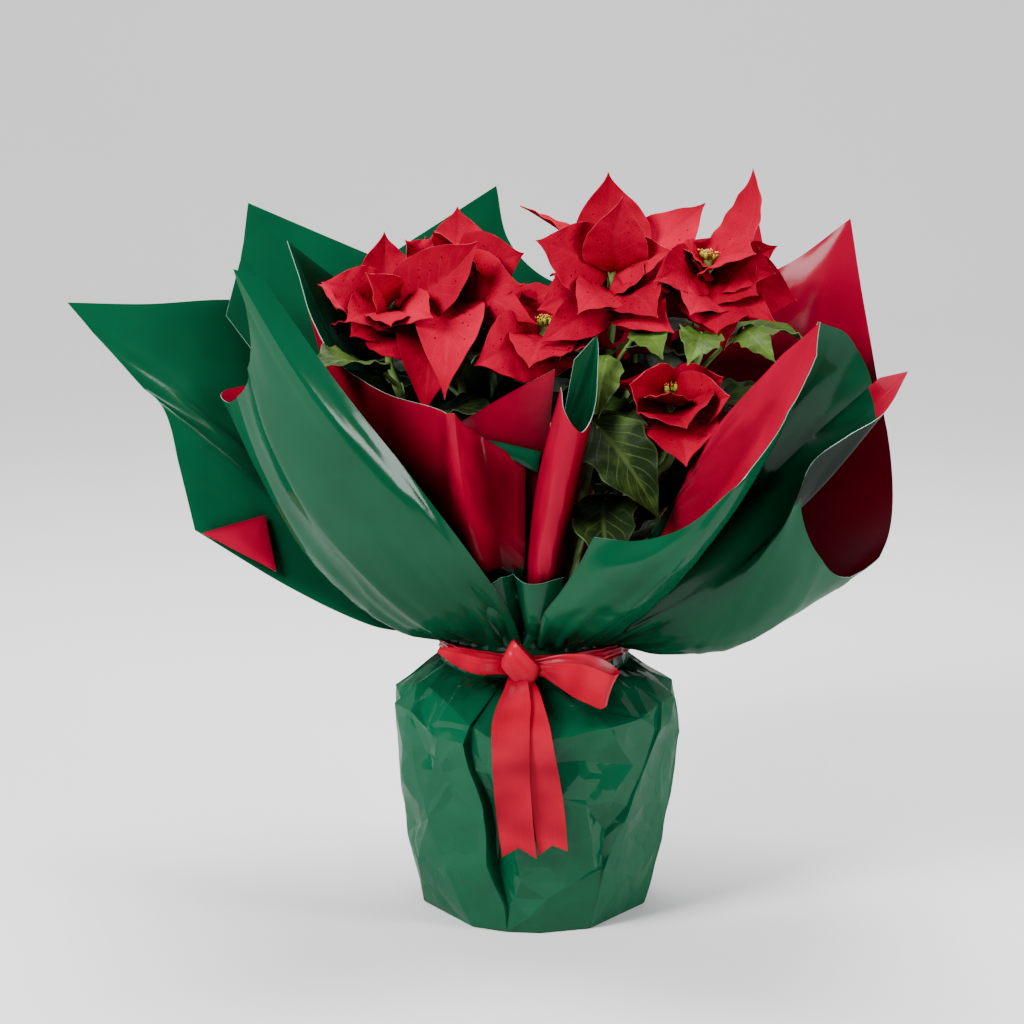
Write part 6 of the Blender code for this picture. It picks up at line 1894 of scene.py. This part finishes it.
def stem_rule(material):
    """Sweeps a ring along lines of points, as wide as the points' own thick attribute says."""
    tree, given = new_rule("stem tubes", [("Sides", "NodeSocketInt"), ("Girth", "NodeSocketFloat")])
    line = make(tree, "GeometryNodeMeshToCurve", {0: given.outputs["Geometry"]})
    thick = make(tree, "GeometryNodeInputNamedAttribute", {"Name": "thick"}, data_type="FLOAT")
    girth = calculate(tree, "MULTIPLY", thick, given.outputs["Girth"])
    sized = make(tree, "GeometryNodeSetCurveRadius", {"Curve": line, "Radius": girth})
    circle = {"Resolution": given.outputs["Sides"], "Radius": 1.0}
    ring = make(tree, "GeometryNodeCurvePrimitiveCircle", circle)
    sweep = {"Curve": sized, "Profile Curve": ring, "Scale": girth, "Fill Caps": True}
    swept = make(tree, "GeometryNodeCurveToMesh", sweep)
    welded = make(tree, "GeometryNodeMergeByDistance", {"Geometry": swept, "Distance": 0.00001})
    close_rule(tree, welded, material)
    return tree


def stem_lines(name, bloom, leaves):
    """Points of the stem and its leaf stalks, the edges that join them, and how thick each is.

    The stem swells a little at five joints and under the flower head.
    """
    path = stem_path(bloom)
    x, y, z = bloom["centre"]
    path = path[:-1] + [(x, y, z - HUB_BELOW), (x, y, z + HUB_ABOVE)]
    stem = smooth_path(path, 70)
    share = np.linspace(0.0, 1.0, len(stem))
    thick = STEM_RADIUS + (STEM_TOP_RADIUS - STEM_RADIUS) * share
    for step in range(5):
        thick = thick + 0.5 * np.exp(-(((share - 0.25 - 0.14 * step) / 0.012) ** 2))
    thick = thick + 1.3 * np.exp(-(((share - 1.0) / 0.05) ** 2))
    lines = [(stem, thick)]
    for joint, blade in leaves:
        end = stalk_end(blade)
        middle = (np.array(joint) + end) / 2 + (0.0, 0.0, 1.5)
        stalk = smooth_path([joint, middle, end], 12)
        lines.append((stalk, np.linspace(STALK_RADIUS * 1.25, STALK_RADIUS * 0.8, len(stalk))))
    points = np.concatenate([line for line, thick in lines])
    widths = np.concatenate([thick for line, thick in lines])
    edges, shift = [], 0
    for line, thick in lines:
        edges += [(shift + step, shift + step + 1) for step in range(len(line) - 1)]
        shift += len(line)
    return points, edges, widths


def build_seen_stem(name, bloom, leaves, rule):
    points, edges, widths = stem_lines(name, bloom, leaves)
    mesh = bpy.data.meshes.new("stem_" + name)
    mesh.from_pydata((points * MM).tolist(), edges, [])
    store(mesh, "thick", widths * MM)
    stem = run_rule(new_object("stem_" + name, mesh), rule, {"Sides": 16, "Girth": 1.0})
    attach(stem, "root")
    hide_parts("leafy_stem_" + name)
    return stem


def turned_shape(name, profile, sides):
    """A small turned shape about +Z, its tone rising from 0 at its foot to 1 at its top."""
    rows = len(profile)
    turns = np.linspace(0.0, 2 * math.pi, sides, endpoint=False)
    points = [(r * math.cos(t), r * math.sin(t), z) for t in turns for r, z in profile]
    index = grid_index(sides, rows)
    faces = grid_faces(index, flip=True).tolist()
    faces += [index[:-1, 0][::-1].tolist(), index[:-1, -1].tolist()]
    tones = np.tile(np.linspace(0.0, 1.0, rows), sides)
    return mesh_object(name, points, faces, (), tones=tones)


def place_copies(tree, points, shape, turn, size, material):
    """Ends a rule with a copy of the shape on every point."""
    turned = make(tree, "FunctionNodeEulerToRotation", {0: turn})
    inputs = {"Points": points, "Instance": shape, "Rotation": turned, "Scale": size}
    close_rule(tree, make(tree, "GeometryNodeInstanceOnPoints", inputs), material)


def scatter_rule(title, material):
    """Puts one small shape on every point, turned and sized by the points' own attributes."""
    tree, given = new_rule(title, [("Shape", "NodeSocketObject"), ("Size", "NodeSocketFloat")])
    shape = make(tree, "GeometryNodeObjectInfo", {"Object": given.outputs["Shape"]}, output=4)
    lean = make(tree, "GeometryNodeInputNamedAttribute", {"Name": "lean"}, data_type="FLOAT_VECTOR")
    size = make(tree, "GeometryNodeInputNamedAttribute", {"Name": "size"}, data_type="FLOAT")
    scale = calculate(tree, "MULTIPLY", size, given.outputs["Size"])
    place_copies(tree, given.outputs["Geometry"], shape, lean, scale, material)
    return tree


def scattered(name, points, leans, sizes, shape, rule):
    mesh = bpy.data.meshes.new(name)
    mesh.from_pydata((np.array(points) * MM).tolist(), [], [])
    store(mesh, "lean", leans)
    store(mesh, "size", sizes)
    return run_rule(new_object(name, mesh), rule, {"Shape": shape, "Size": 1.0})


def build_seen_cyathia(name, bloom, bead, stamen, bead_rule, stamen_rule):
    """A cluster of small cups with red and yellow stamens standing out of them."""
    x, y, z = bloom["centre"]
    bottom = z + HUB_ABOVE + CLEARANCE
    draws = random.Random(f"cups {name}")
    cups, leans, sizes, tips, tip_leans, tip_sizes = [], [], [], [], [], []
    for step in range(CYATHIA_SEEN):
        turn = math.radians(GOLDEN_ANGLE * step + draws.uniform(-12, 12))
        reach = CYATHIA_SPACING * math.sqrt(step) if step else 0.0
        foot = (x + reach * math.cos(turn), y + reach * math.sin(turn), bottom + draws.uniform(-0.6, 0.4))
        lean = reach * CYATHIA_LEAN
        lean_x, lean_y = -math.sin(turn) * lean, math.cos(turn) * lean
        size = draws.uniform(0.8, 1.15)
        cups.append(foot)
        leans.append((lean_x, lean_y, 0.0))
        sizes.append(size)
        for hair in range(STAMENS_SEEN):
            around = draws.uniform(0, 2 * math.pi)
            tips.append((
                foot[0] + 3.9 * size * math.sin(lean_y) + 0.6 * math.cos(around),
                foot[1] - 3.9 * size * math.sin(lean_x) + 0.6 * math.sin(around),
                foot[2] + 3.7 * size,
            ))
            tip_leans.append((lean_x - math.sin(around) * 0.5, lean_y + math.cos(around) * 0.5, 0.0))
            tip_sizes.append(draws.uniform(0.7, 1.2))
    pieces = (
        scattered("cups_" + name, cups, leans, sizes, bead, bead_rule),
        scattered("stamens_" + name, tips, tip_leans, tip_sizes, stamen, stamen_rule),
    )
    for piece in pieces:
        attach(piece, "root")
        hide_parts("cyathia_" + name)
    return pieces


def crumb_rule(material):
    """Scatters crumbs of peat over the faces of the growing medium that look up."""
    sockets = [("Density", "NodeSocketFloat"), ("Crumb", "NodeSocketFloat"), ("Seed", "NodeSocketInt")]
    tree, given = new_rule("peat crumbs", sockets)
    normal = make(tree, "GeometryNodeInputNormal")
    upright = make(tree, "ShaderNodeSeparateXYZ", {0: normal}, output=2)
    facing = calculate(tree, "GREATER_THAN", upright, 0.8)
    spread = tree.nodes.new("GeometryNodeDistributePointsOnFaces")
    tree.links.new(given.outputs["Geometry"], spread.inputs["Mesh"])
    tree.links.new(facing, spread.inputs["Selection"])
    tree.links.new(given.outputs["Density"], spread.inputs["Density"])
    tree.links.new(given.outputs["Seed"], spread.inputs["Seed"])
    crumb = make(tree, "GeometryNodeMeshIcoSphere", {"Radius": given.outputs["Crumb"], "Subdivisions": 1})
    sizes = {"Min": (0.4, 0.4, 0.25), "Max": (1.5, 1.2, 0.8)}
    turns = {"Max": (6.3, 6.3, 6.3), "Seed": 3}
    size = make(tree, "FunctionNodeRandomValue", sizes, data_type="FLOAT_VECTOR")
    turn = make(tree, "FunctionNodeRandomValue", turns, data_type="FLOAT_VECTOR")
    place_copies(tree, spread.outputs["Points"], crumb, turn, size, material)
    return tree


def build_crumbs(material):
    """Crumbs of about 1 mm on a copy of the growing medium's surface, with their number per square metre."""
    ground = new_object("peat_crumbs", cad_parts["growing_medium"].data.copy())
    crumbs = run_rule(ground, crumb_rule(material), {"Density": 150000.0, "Crumb": 0.0011, "Seed": 5})
    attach(crumbs, "root")
    return crumbs


def paint(name, material):
    """Gives a carried-over node its material."""
    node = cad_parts[name]
    node.data.materials.clear()
    node.data.materials.append(material)


def bare_stem(name, bloom):
    """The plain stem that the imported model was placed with, only for its outline in space."""
    path = smooth_path(stem_path(bloom), STEM_STEPS)
    curve = bpy.data.curves.new(name, "CURVE")
    curve.dimensions = "3D"
    curve.bevel_depth = STEM_RADIUS * MM
    curve.bevel_resolution = 1
    curve.use_fill_caps = True
    spline = curve.splines.new("POLY")
    spline.points.add(len(path) - 1)
    for step, point in enumerate(path):
        share = step / (len(path) - 1)
        spline.points[step].co = (*(c * MM for c in point), 1.0)
        spline.points[step].radius = 1 - share * (1 - STEM_TOP_RADIUS / STEM_RADIUS)
    return evaluated(new_object(name + " outline", curve))


def placed_plant():
    """Where every bract and leaf is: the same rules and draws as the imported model's."""
    crowd = Crowd()
    crowd.add("wrap_film", tree_of_object(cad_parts["wrap_film"]))
    crowd.add("ribbon", tree_of_object(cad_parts["ribbon"]))
    for name, bloom in BLOOMS.items():
        outline = bare_stem(name, bloom)
        crowd.add("leafy_stem_" + name, tree_of_object(outline))
        bpy.data.objects.remove(outline, do_unlink=True)
        crowd.add("cyathia_" + name, tree_of_object(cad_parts["cyathia_" + name]))
    bracts = place_bracts(crowd)
    leaves = place_leaves(crowd)
    more_bracts(crowd, bracts)
    more_leaves(crowd, leaves)
    return bracts, leaves


def more_bracts(crowd, bracts):
    """Fills each flower head with further bracts, bent clear of all that is there."""
    for name, bloom in BLOOMS.items():
        draws = random.Random(f"more bracts {name}")
        start = draws.uniform(0, 360)
        for step in range(MORE_BRACTS):
            bract = rule_bract(bloom["centre"], step, start, draws, MORE_BRACT_LAYERS)
            bent = place_blade(crowd, "bloom_" + name, bract, BRACT_OUTLINE, True)
            if bent:
                bracts[name].append(bent)


def more_leaves(crowd, leaves):
    """Further leaves under each flower head, on the upper part of its stem."""
    low, high = MORE_LEAF_HEIGHT
    for name in BLOOMS:
        draws = random.Random(f"more leaves {name}")
        start = draws.uniform(0, 360)
        for step in range(MORE_LEAVES):
            share = low + (high - low) * (step + 0.5) / MORE_LEAVES
            leaf = rule_leaf(name, share, math.radians(start + GOLDEN_ANGLE * step), draws)
            joint = stem_point(name, share)
            bent = place_blade(crowd, "leafy_stem_" + name, leaf, LEAF_OUTLINE, True)
            if bent:
                leaves[name].append((joint, bent))


def build_stage():
    """A pale floor that sweeps up all round, far enough off to stay behind every view, with painted shade:
    nearly black on the walls at the front and sides and on the floor towards the front.
    """
    rows = smooth_path([(r, z, 0.0) for r, z in STAGE_PROFILE], 60)
    turns = np.linspace(0.0, 2 * math.pi, 96, endpoint=False)
    points = [(r * math.cos(t) / MM, r * math.sin(t) / MM, z / MM) for t in turns for r, z, _ in rows[1:]]
    points.append((0.0, 0.0, 0.0))
    index = grid_index(len(turns), len(rows) - 1)
    faces = grid_faces(index).tolist()
    middle = len(points) - 1
    faces += [(middle, int(index[row, 0]), int(index[row + 1, 0])) for row in range(len(turns))]
    material, tree, shader = new_material("backdrop paper", Roughness=0.85)
    place = object_place(tree)
    depth, height = axes_of(tree, place)[1:]
    paper = mixed(tree, noise(tree, place, 3.0), (0.68, 0.675, 0.675), (0.70, 0.695, 0.70))
    # Painted shade standing in for an unlit room: the floor towards the front and all walls but the one
    # behind turn nearly black
    shaded_near_floor = between(tree, depth, -0.9, -2.2, 0.0, 0.75)
    raised = between(tree, height, 0.1, 0.7, 0.0, 0.95)
    shaded_walls = calculate(tree, "MULTIPLY", between(tree, depth, 2.2, 1.0), raised)
    tint = mixed(tree, calculate(tree, "MAXIMUM", shaded_near_floor, shaded_walls), paper, (0.02, 0.02, 0.02))
    tree.links.new(tint, shader.inputs["Base Color"])
    floor = mesh_object("stage_floor", points, faces, (material,))


def build_lights():
    for name, (place, target, size, power) in LIGHTS.items():
        light = bpy.data.lights.new(name, "AREA")
        light.shape = "RECTANGLE"
        light.size, light.size_y = size
        light.energy = power
        softbox = new_object(name, light)
        softbox.location = place
        softbox.rotation_euler = (Vector(target) - Vector(place)).to_track_quat("-Z", "Y").to_euler()
    world = bpy.data.worlds.new("studio")
    bpy.context.scene.world = world
    world.use_nodes = True
    sky = world.node_tree.nodes["Background"]
    sky.inputs["Color"].default_value = (0.92, 0.93, 0.95, 1.0)
    sky.inputs["Strength"].default_value = 0.22


def build_camera():
    camera = bpy.data.cameras.new("camera")
    camera.lens = CAMERA_LENS
    camera.sensor_width = 36.0
    obj = new_object("camera", camera)
    rise = math.radians(CAMERA_RISE)
    back = Vector((0.0, -math.cos(rise), math.sin(rise))) * CAMERA_DISTANCE
    obj.location = (Vector(CAMERA_TARGET) + back) * MM
    obj.rotation_euler = (math.radians(90.0 - CAMERA_RISE), 0.0, 0.0)
    bpy.context.scene.camera = obj


def main():
    build_camera()
    build_lights()
    build_stage()
    materials = make_materials()
    closing = [build_film_panel(name, ribs, materials) for name, ribs in PANELS.items()]
    closing += [build_flap(name, corners, colour, materials) for name, (corners, colour) in FLAPS.items()]
    closing.append(build_cup_film(materials))
    closing.append(build_knot(materials))
    closing += [build_ribbon_strip(name, strip, materials) for name, strip in SEEN_STRIPS.items()]
    closing.append(build_ribbon_band(materials))
    paint("nursery_pot", materials["plastic"])
    paint("growing_medium", materials["peat"])
    build_crumbs(materials["peat"])
    bracts, leaves = placed_plant()
    stems = stem_rule(materials["stem"])
    bead_rule = scatter_rule("cyathia cups", materials["bead"])
    stamen_rule = scatter_rule("stamens", materials["stamen"])
    cup = turned_shape("cup shape", CYATHIA_CUP, 12)
    stamen = turned_shape("stamen shape", STAMEN, 6)
    for name, bloom in BLOOMS.items():
        closing.append(build_seen_bloom(name, bracts[name], materials))
        closing.append(build_seen_leaves(name, leaves[name], materials))
        build_seen_stem(name, bloom, leaves[name], stems)
        build_seen_cyathia(name, bloom, cup, stamen, bead_rule, stamen_rule)
    bpy.data.objects.remove(cup, do_unlink=True)
    bpy.data.objects.remove(stamen, do_unlink=True)
    store_openness(closing)


main()
